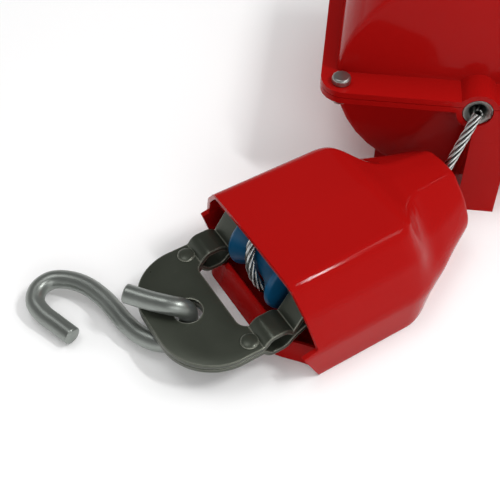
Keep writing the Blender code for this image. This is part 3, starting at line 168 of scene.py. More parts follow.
# place, aim, width, height, watts
lamp("key_lamp", (0.70, -0.22, 1.05), (0.0, 0.0, 0.0), 0.3, 0.3, 1.6)
lamp("streak_lamp", (0.42, -0.42, 0.93), (0.02, -0.03, 0.05), 0.26, 0.05, 3.6, turn=math.radians(50))
lamp("top_lamp", (-0.15, 0.3, 1.3), (0.05, 0.02, 0.0), 0.5, 0.5, 2.4)
lamp("front_lamp", (-0.25, -1.2, 0.75), (0.05, -0.02, 0.02), 0.9, 0.5, 3.8)

# ---- hook end: end cover -------------------------------------------------------------------------
# A glossy red moulding of about 2 mm wall, wide and open in front and narrowing to a tail that lets
# the cable out. It is moulded in one colour, in two shells that screw together from below.
MM = 0.001


def skin(name, grid, around=False, caps=False):
    """A surface through a grid of points [row, column]: one face between each four neighbours.
    around joins the last column to the first; caps closes the first and the last row."""
    rows, columns = grid.shape[:2]
    index = np.arange(rows * columns).reshape(rows, columns)
    here, down = index[:-1], index[1:]
    if around:
        right_here, right_down = np.roll(here, -1, axis=1), np.roll(down, -1, axis=1)
    else:
        here, right_here = here[:, :-1], here[:, 1:]
        down, right_down = down[:, :-1], down[:, 1:]
    faces = np.stack([here, right_here, right_down, down], axis=-1).reshape(-1, 4).tolist()
    if caps:
        faces += [index[0].tolist()[::-1], index[-1].tolist()]
    mesh = bpy.data.meshes.new(name)
    mesh.from_pydata(grid.reshape(-1, 3).tolist(), [], faces)
    made = bpy.data.objects.new(name, mesh)
    bpy.context.scene.collection.objects.link(made)
    return made


def tidy(piece, merge=1e-6):
    """Merges doubles, drops empty faces and turns the closed shape's faces outwards."""
    bm = bmesh.new()
    bm.from_mesh(piece.data)
    bmesh.ops.remove_doubles(bm, verts=bm.verts, dist=merge)
    bmesh.ops.dissolve_degenerate(bm, edges=bm.edges, dist=merge)
    bm.normal_update()
    bmesh.ops.recalc_face_normals(bm, faces=bm.faces)
    bm.to_mesh(piece.data)
    bm.free()
    return piece


def dressed(piece, look, body, stands_for=None, smooth=40):
    """Gives a piece its material, smooth shading up to an angle and its body, and hides the CAD node
    that it stands for."""
    piece.data.materials.clear()
    piece.data.materials.append(look)
    piece.data.shade_smooth()
    piece.data.set_sharp_from_angle(angle=math.radians(smooth))
    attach(piece, body)
    if stands_for:
        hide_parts(stands_for)
    return piece


def modifier(piece, kind, **settings):
    """Adds a modifier of a kind with its settings."""
    made = piece.modifiers.new(kind.title(), kind)
    for name, value in settings.items():
        setattr(made, name, value)
    return made


def group(name, inputs, outputs):
    """An empty node group with named number sockets; returns it, its two ends and a node maker."""
    made = bpy.data.node_groups.new(name, "ShaderNodeTree")
    for label, value in inputs.items():
        socket = made.interface.new_socket(label, in_out="INPUT", socket_type="NodeSocketFloat")
        socket.default_value = value
    for label in outputs:
        made.interface.new_socket(label, in_out="OUTPUT", socket_type="NodeSocketFloat")
    add = node_maker(made)
    return made, add("NodeGroupInput"), add("NodeGroupOutput"), add


def marks_group():
    """Handling marks, as numbers over the surface: broad mottling, fine hair scratches and a fine
    grain, each from noise on the piece's own coordinates."""
    scales = {"Mottle Scale": 18.0, "Scratch Scale": 90.0, "Grain Scale": 900.0}
    made, given, result, add = group("handling marks", scales, ["Mottle", "Scratch", "Grain"])
    where = add("ShaderNodeTexCoord")
    mottle = add("ShaderNodeTexNoise", Vector=(where, "Object"), Scale=(given, "Mottle Scale"),
                 Detail=4.0)
    turned = add("ShaderNodeMapping", Vector=(where, "Object"), Rotation=(0.3, 0.2, 0.7),
                 Scale=(1.0, 9.0, 9.0))
    hair = add("ShaderNodeTexNoise", Vector=(turned, "Vector"), Scale=(given, "Scratch Scale"),
               Detail=3.0)
    line = ramp(add, (hair, "Fac"), [(0.7, 0.0), (0.76, 1.0)])
    grain = add("ShaderNodeTexNoise", Vector=(where, "Object"), Scale=(given, "Grain Scale"),
                Detail=2.0)
    connect(result, Mottle=(mottle, "Fac"), Scratch=(line, "Color"), Grain=(grain, "Fac"))
    return made


def edge_group():
    """How near a point is to an outer edge: 0 on flats, 1 where the rounded normal leans away."""
    made, given, result, add = group("worn edges", {"Radius": 0.0006, "Sharpness": 6.0}, ["Edge"])
    eased = add("ShaderNodeBevel", {"samples": 4}, Radius=(given, "Radius"))
    flat = add("ShaderNodeNewGeometry")
    lean = add("ShaderNodeVectorMath", {"operation": "DOT_PRODUCT"}, _0=(eased, "Normal"),
               _1=(flat, "Normal"))
    away = add("ShaderNodeMath", {"operation": "SUBTRACT"}, _0=1.0, _1=(lean, "Value"))
    scaled = add("ShaderNodeMath", {"operation": "MULTIPLY", "use_clamp": True}, _0=(away, "Value"),
                 _1=(given, "Sharpness"))
    connect(result, Edge=(scaled, "Value"))
    return made


MARKS = marks_group()
EDGES = edge_group()


def mixed(add, share, start, end):
    """A colour between two, by a number: start + share * (end - start). Each colour is three numbers
    or another node's output."""
    start, end = [c if isinstance(c[0], bpy.types.Node) else (*c, 1) for c in (start, end)]
    return add("ShaderNodeMix", {"data_type": "RGBA"}, _0=share, _6=start, _7=end)


def remap(add, value, low, high):
    """A number from 0 to 1 stretched to run from low to high."""
    return add("ShaderNodeMapRange", _0=value, _3=low, _4=high)


def moulding(name, base, deep, roughness, gloss):
    """Moulded plastic: nearly even colour, faint flow marks, and hair scratches that dull it."""
    made, shader, add = material(name, Specular_IOR_Level=gloss)
    marks = add("ShaderNodeGroup", {"node_tree": MARKS}, Mottle_Scale=14.0, Scratch_Scale=55.0,
                Grain_Scale=700.0)
    colour = mixed(add, (marks, "Mottle"), deep, base)
    scratched = add("ShaderNodeMath", {"operation": "MULTIPLY"}, _0=(marks, "Scratch"), _1=0.1)
    dulled = remap(add, (marks, "Mottle"), roughness * 0.8, roughness * 1.25)
    rough = add("ShaderNodeMath", {"operation": "ADD"}, _0=(dulled, "Result"), _1=(scratched, "Value"))
    bump = add("ShaderNodeBump", Strength=0.05, Distance=0.0004, Height=(marks, "Mottle"))
    fine = add("ShaderNodeBump", Strength=0.02, Distance=0.0001, Height=(marks, "Grain"),
               Normal=(bump, "Normal"))
    connect(shader, Base_Color=(colour, 2), Roughness=(rough, "Value"), Normal=(fine, "Normal"))
    return made


RED = moulding("red moulding", (0.355, 0.0054, 0.0048), (0.325, 0.0044, 0.004), 0.09, 0.08)

COVER_HALF, COVER_TOP_HALF, COVER_HEIGHT = 48.0 * MM, 31.0 * MM, 49.0 * MM     # in front
TAIL_HALF, TAIL_TOP_HALF, TAIL_FOOT_HALF, TAIL_HEIGHT = 27.0 * MM, 9.0 * MM, 18.09 * MM, 40.0 * MM
COVER_WALL, COVER_END, COVER_EASE = 2.2 * MM, 100.0 * MM, 3.2 * MM
EXIT_RADIUS, EXIT_HEIGHT = 5.6 * MM, 28.9 * MM
# the mouth's edge along x: at the top, above the lips, and at the lips' own tips on each side
COVER_MOUTH, COVER_NOTCH, COVER_LIP_RIGHT, COVER_LIP_LEFT = -6.5 * MM, -1.6 * MM, -9.5 * MM, -5.4 * MM
LIP_HEIGHT = 20.0 * MM           # of the cover's widest line too
LIP_BELOW, LIP_STEP = 0.2 * MM, 0.9 * MM         # where the edge steps back above a lip, and how far up
CROWN_RISE, SIDE_BULGE, FOOT_TURN, FOOT_HEIGHT = 0.8 * MM, 1.5 * MM, 3.5 * MM, 0.25 * MM
CORNER_RADII = np.array([1.2, 14, 20, 8.0, 40, 8.0, 20, 14, 1.2]) * MM
# along the cover: place, then how much the base, the shoulder, the top and the height have of the way
# from their value at the tail's end to the one in front
COVER_STATIONS = np.array([(-16.5, 1, 1, 1, 1), (46, 1, 1, 1, 1), (51.5, 1, 1, 1, 1),
                           (57.5, 0.93, 0.95, 0.91, 0.95), (62.75, 0.83, 0.88, 0.55, 0.7),
                           (68, 0.7, 0.77, 0.25, 0.4), (75, 0.53, 0.67, 0.09, 0.2),
                           (85, 0.3, 0.38, 0.05, 0.1), (100, 0, 0, 0, 0)])


def cover_shares(x):
    """The four shares at each place: straight runs between the stations, averaged over 3.2 mm to each
    side to ease their corners, except next to the tail's end."""
    offsets = np.linspace(-COVER_EASE, COVER_EASE, 9)
    places = COVER_STATIONS[:, 0] * MM
    return [np.where(x > COVER_END - COVER_EASE, np.interp(x, places, shares),
                     np.interp(x[:, None] + offsets, places, shares).mean(axis=1))
            for shares in COVER_STATIONS[:, 1:].T]


def eased_corners(corners, radii, turn_points=9, run_points=4):
    """Open outlines [row, corner, 2] with each inner corner rounded by a quadratic arc that starts and
    ends where a circle of that radius would touch the sides, and even points on the straight runs."""
    before, here, after = corners[:, :-2], corners[:, 1:-1], corners[:, 2:]
    back, on = before - here, after - here
    back_length, on_length = np.linalg.norm(back, axis=-1), np.linalg.norm(on, axis=-1)
    back, on = back / back_length[..., None], on / on_length[..., None]
    half = np.arccos(np.clip((back * on).sum(-1), -1, 1)) / 2
    room = 0.48 * np.minimum(back_length, on_length)
    reach = np.minimum(radii / np.tan(np.maximum(half, 0.05)), room)
    start, end = here + back * reach[..., None], here + on * reach[..., None]
    t = np.linspace(0, 1, turn_points)[:, None]
    arcs = ((1 - t) ** 2 * start[:, :, None] + 2 * t * (1 - t) * here[:, :, None]
            + t ** 2 * end[:, :, None])
    s = np.linspace(0, 1, run_points + 2)[1:-1, None]
    pieces = [corners[:, :1]]
    last = corners[:, 0]
    for corner in range(arcs.shape[1]):
        first = arcs[:, corner, 0]
        pieces.append(last[:, None] * (1 - s) + first[:, None] * s)
        pieces.append(arcs[:, corner])
        last = arcs[:, corner, -1]
    pieces += [last[:, None] * (1 - s) + corners[:, -1:] * s, corners[:, -1:]]
    return np.concatenate(pieces, axis=1)


def cover_section(x):
    """The cover's section at each x, from the right foot over the top to the left foot, as (y, z)."""
    base, shoulder, top, height = cover_shares(x)
    base = TAIL_FOOT_HALF + (COVER_HALF - TAIL_FOOT_HALF) * base
    shoulder = TAIL_HALF + (COVER_HALF - TAIL_HALF) * shoulder
    top = TAIL_TOP_HALF + (COVER_TOP_HALF - TAIL_TOP_HALF) * top
    height = TAIL_HEIGHT + (COVER_HEIGHT - TAIL_HEIGHT) * height
    foot, lip = np.full_like(x, FOOT_HEIGHT), np.full_like(x, LIP_HEIGHT)
    middle, middle_z = (shoulder + top) / 2 + SIDE_BULGE, (lip + height) / 2 + SIDE_BULGE
    right = [(FOOT_TURN - base, foot), (-base, foot), (-shoulder, lip), (-middle, middle_z),
             (-top, height)]
    crown = [(0 * x, height + CROWN_RISE)]
    left = [(-y, z) for y, z in reversed(right)]
    corners = np.stack([np.stack(point, axis=-1) for point in right + crown + left], axis=1)
    return eased_corners(corners, CORNER_RADII)


def cover_mouth(z, y):
    """Where the wall starts, along x: a straight leaning edge above, and on each side a lip that runs
    straight from the foot at x = 0 forward to its tip."""
    upper = np.interp(z, [LIP_HEIGHT, COVER_HEIGHT], [COVER_NOTCH, COVER_MOUTH])
    lower = np.clip(z / LIP_HEIGHT, 0, 1) * np.where(y > 0, COVER_LIP_LEFT, COVER_LIP_RIGHT)
    blend = np.clip((z - LIP_HEIGHT + LIP_BELOW) / LIP_STEP, 0, 1)
    return lower + (upper - lower) * blend


def standing(x, sections):
    """Sections of (y, z) points with their x put first; x is one number per section, or per point."""
    x = x if x.ndim > 1 else x[:, None]
    sections = np.broadcast_to(sections, (len(x), *sections.shape[-2:]))
    return np.concatenate([np.broadcast_to(x, sections.shape[:2])[..., None], sections], axis=-1)


# in front the section stays the same, and its points run back from the mouth's edge
FRONT_END, FRONT_ROWS = 44 * MM, 9
front_section = cover_section(np.zeros(1))[0]
mouth_x = cover_mouth(front_section[:, 1], front_section[:, 0])
near_share = np.linspace(0, 1, FRONT_ROWS) ** 1.3
front_grid = standing(mouth_x + (FRONT_END - mouth_x) * near_share[:, None], front_section)
rear_x = np.concatenate([np.arange(46, 60, 1.0), np.arange(60, 97, 1.5), [97.0, 98.5, 99.4]]) * MM
rear_grid = standing(rear_x, cover_section(rear_x))
# the end wall: the last section drawn in to the ring of the cable's hole, in an arc and then flat
last_section = cover_section(np.array([COVER_END]))[0]
bearing = np.linspace(-math.pi / 2, -math.pi / 2 - 2 * math.pi, len(last_section))
ring = EXIT_RADIUS * np.stack([np.cos(bearing), np.sin(bearing)], axis=-1) + (0.0, EXIT_HEIGHT)
drawn_in = np.array([0.03, 0.08, 0.15, 0.3, 0.5, 0.7, 0.85, 0.93, 1.0])
depth = np.array([0.35, 0.9, 1.3, 1.6, 1.7, 1.7, 1.6, 1.2, 0.4]) * MM
end_grid = standing(COVER_END + depth, last_section + (ring - last_section) * drawn_in[:, None, None])
cover = skin("end_cover_skin", np.concatenate([front_grid, rear_grid, end_grid]))
cover.data.flip_normals()
modifier(cover, "SOLIDIFY", thickness=COVER_WALL, offset=-1, use_quality_normals=True)
modifier(cover, "BEVEL", width=0.5 * MM, segments=3, limit_method="ANGLE", angle_limit=math.radians(50))
dressed(cover, RED, "hook_end", "end_cover_upper", smooth=35)

# the lower shell's floor pan and low front wall, inside the side walls
WALL_HALF, WALL_LEVEL_HALF, WALL_BACK = 45.5 * MM, 24 * MM, -8 * MM
WALL_SET, WALL_SWEEP = 1.5 * MM, 12.5 * MM
WALL_HEIGHT, WALL_DROP, WALL_DROP_AT, WALL_DROP_EASE = 14 * MM, 3.7 * MM, 19.5 * MM, 0.7 * MM
PAN_FOOT, PAN_FRONT, PAN_END = 0.3 * MM, -6.3 * MM, 97.4 * MM


def wall_bow(y):
    """How far the front wall lies behind its foremost line: level in the middle, swept back beside it
    along an eased step, so that it runs into the side walls behind their lips."""
    share = np.clip((np.abs(y) - WALL_LEVEL_HALF) / (WALL_HALF - WALL_LEVEL_HALF), 0, 1)
    return WALL_SET + WALL_SWEEP * share * share * (3 - 2 * share)


# the pan reaches under the side walls' feet, and in front as far as the swept wall stands
pan_x = np.concatenate([[PAN_FRONT], np.arange(-5, 8, 1.0) * MM, np.arange(8, 98, 4.0) * MM, [PAN_END]])
swept_y = np.linspace(WALL_LEVEL_HALF, WALL_HALF, 60)
pan_half = np.minimum(cover_section(pan_x)[:, -1, 0] + 0.6 * MM,
                      np.interp(pan_x + 0.5 * MM, wall_bow(swept_y) + WALL_BACK, swept_y))
pan_ring = [(-1, PAN_FOOT), (1, PAN_FOOT), (1, COVER_WALL), (-1, COVER_WALL)]
pan = np.stack([np.stack([pan_x, side * pan_half, np.full_like(pan_x, z)], axis=-1)
                for side, z in pan_ring], axis=1)
floor_pan = tidy(skin("end_cover_floor", pan, around=True, caps=True))
dressed(floor_pan, RED, "hook_end", "end_cover_lower")
# the wall's top steps down beside the middle; its front face leans back, its top edges are rounded
wall_y = np.linspace(-WALL_HALF, WALL_HALF, 92)
dropped = 0.5 + 0.5 * np.tanh((np.abs(wall_y) - WALL_DROP_AT) / WALL_DROP_EASE)
wall_top = WALL_HEIGHT - WALL_DROP * dropped
share = wall_top / WALL_HEIGHT
wall_ring = [(-13.9 * MM, PAN_FOOT), (-13.4 * MM + 3.4 * MM * share, wall_top - 0.9 * MM),
             (-13.4 * MM + 4.3 * MM * share, wall_top), (WALL_BACK - 0.6 * MM, wall_top),
             (WALL_BACK, wall_top - 0.6 * MM), (WALL_BACK, PAN_FOOT)]
wall = np.stack([np.stack([x + wall_bow(wall_y), wall_y, z + 0 * wall_y], axis=-1)
                 for x, z in wall_ring], axis=1)
dressed(tidy(skin("end_cover_front_wall", wall, around=True, caps=True)), RED, "hook_end")


def lathe(name, radii, heights, middle, axis, steps=96):
    """A profile of radii over heights, turned about an axis through a middle point: each point is the
    middle + height * axis + radius * (cos side + sin other). A radius of 0 closes it."""
    axis = np.array(axis, float) / np.linalg.norm(axis)
    side = np.cross(axis, (0, 0, 1.0) if abs(axis[2]) < 0.9 else (1.0, 0, 0))
    side /= np.linalg.norm(side)
    other = np.cross(axis, side)
    angle = np.linspace(0, 2 * math.pi, steps, endpoint=False)
    round_part = np.cos(angle)[:, None] * side + np.sin(angle)[:, None] * other
    radii, heights = np.array(radii), np.array(heights)
    grid = np.array(middle) + heights[:, None, None] * axis + radii[:, None, None] * round_part
    return tidy(skin(name, grid, around=True))


AXLE = np.array([10.0, 0, 27.5]) * MM
# the bosses that hold the axle's ends: the points of their outer ends are moved to the inside of the
# wall, sunk half way into it
BOSS_RADII = np.array([0.0, 7.4, 8.0, 8.0, 8.0, 0.0]) * MM
BOSS_PLACES = np.array([34.6, 34.6, 35.2, 40.0, 46.0, 46.0]) * MM
BOSS_OUTER = 41 * MM
wall_side = front_section[front_section[:, 0] > 0][::-1]
for side, word in ((1, "left"), (-1, "right")):
    boss = lathe("cover_boss_" + word, BOSS_RADII, BOSS_PLACES, AXLE, (0, side, 0), 48)
    spots = np.empty(len(boss.data.vertices) * 3)
    boss.data.vertices.foreach_get("co", spots)
    spots = spots.reshape(-1, 3)
    sunk = np.interp(spots[:, 2], wall_side[:, 1], wall_side[:, 0]) - COVER_WALL / 2
    spots[:, 1] = np.where(np.abs(spots[:, 1]) > BOSS_OUTER, side * sunk, spots[:, 1])
    boss.data.vertices.foreach_set("co", spots.ravel())
    dressed(boss, RED, "hook_end")

# ---- hook end: spool -----------------------------------------------------------------------------
# A waisted spool moulded in blue plastic: a wide round saddle for the cable between two rounded
# rims. It turns on the axle.
BLUE = moulding("blue moulding", (0.004, 0.085, 0.19), (0.002, 0.055, 0.13), 0.3, 0.3)
SPOOL_RADIUS, SPOOL_HALF, WAIST_RADIUS, RIM_ROUND = 18.6 * MM, 17.0 * MM, 12.8 * MM, 2.2 * MM
SPOOL_BORE, BORE_EASE = 4.8 * MM, 0.5 * MM
turn = np.linspace(0, math.pi / 2, 9)
rim_radii = SPOOL_RADIUS - RIM_ROUND + RIM_ROUND * np.sin(turn)
rim_heights = SPOOL_HALF - RIM_ROUND + RIM_ROUND * np.cos(turn)
# from the rim to the waist the radius falls along a cosine, so that the cable lies in a wide saddle
waist_heights = np.linspace(SPOOL_HALF - RIM_ROUND, 0, 26)[1:]
waist_share = waist_heights / (SPOOL_HALF - RIM_ROUND)
waist_rise = (1 - np.cos(waist_share * math.pi / 2)) ** 1.4
waist_radii = WAIST_RADIUS + (SPOOL_RADIUS - WAIST_RADIUS) * waist_rise
half_radii = np.concatenate([[SPOOL_BORE, SPOOL_BORE + BORE_EASE], rim_radii, waist_radii])
half_heights = np.concatenate([[SPOOL_HALF - BORE_EASE, SPOOL_HALF], rim_heights, waist_heights])
spool_radii = np.concatenate([half_radii, half_radii[::-1][1:], [SPOOL_BORE]])
spool_heights = np.concatenate([half_heights, -half_heights[::-1][1:], [SPOOL_HALF - BORE_EASE]])
spool = lathe("spool_body", spool_radii, spool_heights, AXLE, (0, 1, 0))
dressed(spool, BLUE, "spool", "thimble_spool")

# ---- cable ---------------------------------------------------------------------------------------
# Bare galvanised wire rope of 4.8 mm: six strands laid round a core. It makes an eye round the
# spool, is closed by a pressed alloy sleeve, and runs out of the tail up into the winch.


def distance_along(line):
    """How far each point of a line lies along it: the running sum of its steps' lengths."""
    return np.concatenate([[0], np.cumsum(np.linalg.norm(np.diff(line, axis=0), axis=1))])


def resampled(line, count):
    """A number of points at even distances along a line."""
    along = distance_along(line)
    places = np.linspace(0, along[-1], count)
    return np.stack([np.interp(places, along, column) for column in line.T], axis=-1)


def even_spacing(line, spacing):
    """Points along a line at even distances of about the spacing."""
    return resampled(line, max(3, int(distance_along(line)[-1] / spacing) + 1))


def even_path(points, spacing):
    """A smooth curve through points, with its points evenly spaced along it. Each stretch is a cubic
    whose slope at a point is half the way from the point before to the point after."""
    points = np.array(points, float)
    ends = np.vstack([2 * points[0] - points[1], points, 2 * points[-1] - points[-2]])
    a, b, c, d = ends[:-3, None], ends[1:-2, None], ends[2:-1, None], ends[3:, None]
    t = np.linspace(0, 1, 24, endpoint=False)[None, :, None]
    fine = b + 0.5 * t * (c - a + t * (2 * a - 5 * b + 4 * c - d + t * (3 * (b - c) + d - a)))
    fine = np.vstack([fine.reshape(-1, 3), points[-1]])
    return even_spacing(fine, spacing)


def carried(name, path, radius, sides, crown=None):
    """A round profile carried along a path without twist: at each station the last one's upright is
    laid square to the path again. radius is one per station, or [station, side], as on a rope. crown,
    if given, goes to the points as an attribute."""
    tangent = np.gradient(path, axis=0)
    tangent /= np.linalg.norm(tangent, axis=1)[:, None]
    normal = np.zeros_like(path)
    start = np.cross(tangent[0], (0, 1.0, 0) if abs(tangent[0][1]) < 0.8 else (1.0, 0, 0))
    normal[0] = start / np.linalg.norm(start)
    for station in range(1, len(path)):
        moved = normal[station - 1] - tangent[station] * (normal[station - 1] @ tangent[station])
        normal[station] = moved / np.linalg.norm(moved)
    binormal = np.cross(tangent, normal)
    angle = np.linspace(0, 2 * math.pi, sides, endpoint=False)
    radius = np.broadcast_to(radius if radius.ndim > 1 else radius[:, None], (len(path), sides))
    grid = (path[:, None] + radius[..., None] * (np.cos(angle)[:, None] * normal[:, None]
                                                 + np.sin(angle)[:, None] * binormal[:, None]))
    made = skin(name, grid, around=True, caps=True)
    if crown is not None:
        made.data.attributes.new("crown", "FLOAT", "POINT").data.foreach_set("value", crown.ravel())
    return tidy(made)


def rope_radius(path, sides, radius, lay, strands=6):
    """A rope's outline: each strand is a circle of a third of the rope's radius, its centre at two
    thirds, and the whole turns once in each lay length."""
    angle = np.linspace(0, 2 * math.pi, sides, endpoint=False)
    pitch = 2 * math.pi / strands
    phase = (angle[None, :] - 2 * math.pi * distance_along(path)[:, None] / lay) % pitch - pitch / 2
    centre, wire = radius * 2 / 3, radius / 3
    return centre * np.cos(phase) + np.sqrt(np.maximum(wire ** 2 - (centre * np.sin(phase)) ** 2, 0))


def rope(name, path, body, node, sides=60):
    """The cable along a path; its crown is 0 in the grooves between strands and 1 on their tops."""
    outline = rope_radius(path, sides, CABLE_RADIUS, CABLE_LAY)
    crown = (outline - outline.min()) / (outline.max() - outline.min())
    return dressed(carried(name, path, outline, sides, crown), CABLE, body, node, smooth=60)


def cable_material():
    """Bright galvanised wire: painted shade that darkens the strands' sides and the grooves between
    them almost to black, and a fine grain of wires.
    """
    made, shader, add = material("galvanised cable", Metallic=1.0)
    marks = add("ShaderNodeGroup", {"node_tree": MARKS}, Mottle_Scale=60.0, Scratch_Scale=300.0,
                Grain_Scale=2500.0)
    crown = add("ShaderNodeAttribute", {"attribute_name": "crown"})
    # painted shade: by the crown attribute each strand darkens from its top down into the grooves
    # between strands, almost to black there
    groove_shade = ramp(add, (crown, "Fac"), [(0.0, (0.012, 0.013, 0.012)), (0.45, (0.09, 0.095, 0.09)),
                                      (0.8, (0.42, 0.43, 0.42)), (1.0, (0.78, 0.79, 0.78))])
    dirty = mixed(add, (marks, "Mottle"), (0.1, 0.1, 0.095), (groove_shade, "Color"))
    colour = mixed(add, 0.7, (dirty, 2), (groove_shade, "Color"))
    rough = remap(add, (marks, "Grain"), 0.16, 0.34)
    bump = add("ShaderNodeBump", Strength=0.35, Distance=0.0002, Height=(marks, "Grain"))
    connect(shader, Base_Color=(colour, 2), Roughness=(rough, "Result"), Normal=(bump, "Normal"))
    return made


CABLE = cable_material()
CABLE_RADIUS, CABLE_LAY = 2.4 * MM, 31 * MM
EYE_RADIUS, LEG = 15.7 * MM, 2.7 * MM
# the two legs are parallel from just in front of the sleeve on; the free end comes out behind it
LEGS_MEET, LEG_START, LEG_END = 55 * MM, 66 * MM, 78 * MM
reach = LEGS_MEET - AXLE[0]
tilt = math.atan2(LEG, reach) + math.acos(EYE_RADIUS / math.hypot(reach, LEG))
turns = np.linspace(tilt, 2 * math.pi - tilt, 200)
# the eye crosses the saddle at a slant: it lies to the left above the axle and to the right below it
EYE_SLANT, EYE_RISE = 7.5 * MM, 0.8 * MM
loop_radius = EYE_RADIUS + EYE_RISE * np.sin(turns) ** 2
loop = np.stack([AXLE[0] + loop_radius * np.cos(turns), EYE_SLANT * np.sin(turns),
                 AXLE[2] + loop_radius * np.sin(turns)], axis=-1)
leg_start = [(LEG_START, 0, AXLE[2] + LEG), (LEGS_MEET, 0, AXLE[2] + LEG)]
leg_end = [(LEGS_MEET, 0, AXLE[2] - LEG), (LEG_END, 0, AXLE[2] - LEG)]
eye_path = even_spacing(np.vstack([leg_start, loop, leg_end]), 0.55 * MM)
rope("cable_eye_rope", eye_path, "hook_end", "cable_eye")

# the run keeps the solid's own listed points, in metres, and goes straight into the fairlead
FAIRLEAD_MOUTH = np.array([0.121173, 0.003163, 0.0577])
RUN_POINTS = np.array([(0.0663, 0, 0.0302), (0.076, 0, 0.0302), (0.088, 0, 0.0285),
                       (0.096, -0.0003, 0.0262), (0.1005, -0.0006, 0.0276), (0.1045, -0.0004, 0.0330)])
straight_on = RUN_POINTS[-1] + (FAIRLEAD_MOUTH - RUN_POINTS[-1]) * np.array([[0.33], [0.66], [1.0]])
run_path = even_path(np.vstack([RUN_POINTS, straight_on]), 0.5 * MM)
rope("cable_run_rope", run_path, "hook_end", "cable_run")

# ---- metal finishes and small machined pieces ----------------------------------------------------
# The other rigid pieces keep their solids' shapes. Each is copied, its faces are joined into clean
# ones, and its edges are eased as stamping, turning and plating leave them.


def plated(name, base, worn_and_highlit, roughness, metallic, edge_radius=0.5 * MM, scratch=0.5):
    """Plated steel: a mottled base, hair scratches, and brighter, smoother edges that stand both for
    wear and for a painted highlight along them.
    """
    made, shader, add = material(name, Metallic=metallic)
    marks = add("ShaderNodeGroup", {"node_tree": MARKS}, Mottle_Scale=45.0, Scratch_Scale=120.0,
                Grain_Scale=1600.0)
    edges = add("ShaderNodeGroup", {"node_tree": EDGES}, Radius=edge_radius, Sharpness=7.0)
    dark = tuple(0.62 * part for part in base)
    mottled = mixed(add, (marks, "Mottle"), dark, base)
    lines = add("ShaderNodeMath", {"operation": "MULTIPLY"}, _0=(marks, "Scratch"), _1=scratch)
    # scratches and rounded edges take the lighter colour: wear, and along the edges also a painted
    # highlight
    wear_and_edge_highlight = add("ShaderNodeMath", {"operation": "MAXIMUM", "use_clamp": True}, _0=(lines, "Value"),
               _1=(edges, "Edge"))
    colour = mixed(add, (wear_and_edge_highlight, "Value"), (mottled, 2), worn_and_highlit)
    rough = remap(add, (marks, "Mottle"), roughness * 0.75, roughness * 1.3)
    bump = add("ShaderNodeBump", Strength=0.12, Distance=0.0001, Height=(marks, "Grain"))
    connect(shader, Base_Color=(colour, 2), Roughness=(rough, "Result"), Normal=(bump, "Normal"))
    return made


# the dark plates' edge colour is far lighter than their base: a painted highlight along their edges as
# well as wear
PLATE = plated("dark plated steel", (0.066, 0.074, 0.056), (0.4, 0.41, 0.34), 0.3, 0.5, 1.0 * MM, 0.12)
STEEL = plated("grey steel", (0.34, 0.365, 0.34), (0.62, 0.64, 0.61), 0.36, 0.85, scratch=0.25)
ZINC = plated("zinc plated steel", (0.42, 0.42, 0.4), (0.62, 0.62, 0.6), 0.32, 0.95)
ALLOY = plated("pressed alloy", (0.5, 0.5, 0.51), (0.68, 0.68, 0.68), 0.42, 0.9)


def refined(node, look, body, width=0.4 * MM, segments=2):
    """A copy of a solid with its doubles merged, its faces joined where they lean by under 0.6 degrees,
    and its edges beveled; it stands for the solid."""
    mesh = nodes[node].data.copy()
    mesh.name = node + "_finished"
    piece = bpy.data.objects.new(node + "_finished", mesh)
    bpy.context.scene.collection.objects.link(piece)
    bm = bmesh.new()
    bm.from_mesh(mesh)
    bmesh.ops.remove_doubles(bm, verts=bm.verts, dist=2e-6)
    bmesh.ops.dissolve_limit(bm, angle_limit=math.radians(0.6), verts=bm.verts, edges=bm.edges)
    bm.to_mesh(mesh)
    bm.free()
    if width:
        modifier(piece, "BEVEL", width=width, segments=segments, limit_method="ANGLE",
                 angle_limit=math.radians(38))
    return dressed(piece, look, body, node, smooth=38)


refined("cable_sleeve", ALLOY, "hook_end", 0.6 * MM, 3)
for side in ("left", "right"):
    refined("spacer_" + side, ZINC, "hook_frame", 0.3 * MM)
    refined("end_cover_screw_" + side, ZINC, "hook_end", 0.15 * MM)
refined("spool_axle", ZINC, "hook_frame", 0.2 * MM)

# ---- hook end: frame plates and rivets -----------------------------------------------------------
# Two stamped and plated steel plates lie back to back. They are riveted together in front and at the
# ends of their arms, which step apart over a small tunnel and close round the spool's axle.
PLATE_THICK, PLATE_JOINT, PLATE_HALF, PLATE_GAP = 2.5 * MM, 17.5 * MM, 34.0 * MM, 0.3 * MM
PLATE_FRONT, PLATE_CORNER, WINDOW_FRONT = -56.5 * MM, 26.0 * MM, -23.3 * MM
ARM_INNER, ARM_REAR, ARM_CORNER = 20.8 * MM, 29.0 * MM, 5.0 * MM
PLATE_EDGE = 0.4 * MM            # radius of the rounded edges
HOLE_PLACE, HOLE_RADIUS = np.array([-38.5 * MM, 0, PLATE_JOINT]), 6.6 * MM
TUNNEL_RISE, AXLE_HOLD, TAIL_RISE = 4.0 * MM, 4.8 * MM, 1 * MM
# where along the arms the tunnel starts, is level, and ends, and then the same for the axle's seat
STEP_PLACES = np.array([-60, -19, -16, -9, -5, 4.5, 15.5, 20.5, 30]) * MM


def arm_heights(x, way):
    """The height of a plate's joint face along x, for the upper plate (way 1) or the lower (way -1):
    straight runs, level, away over the tunnel, then round the axle, averaged over 1.1 mm each way."""
    gap = 0 if way == 1 else PLATE_GAP
    base, tail = PLATE_JOINT - gap, AXLE[2] + TAIL_RISE - gap
    tunnel, seat = base + way * TUNNEL_RISE, AXLE[2] + way * AXLE_HOLD
    heights = np.array([base, base, tunnel, tunnel, base, seat, seat, tail, tail])
    offsets = np.linspace(-1.1, 1.1, 7) * MM
    return np.interp(x[..., None] + offsets, STEP_PLACES, heights).mean(axis=-1)


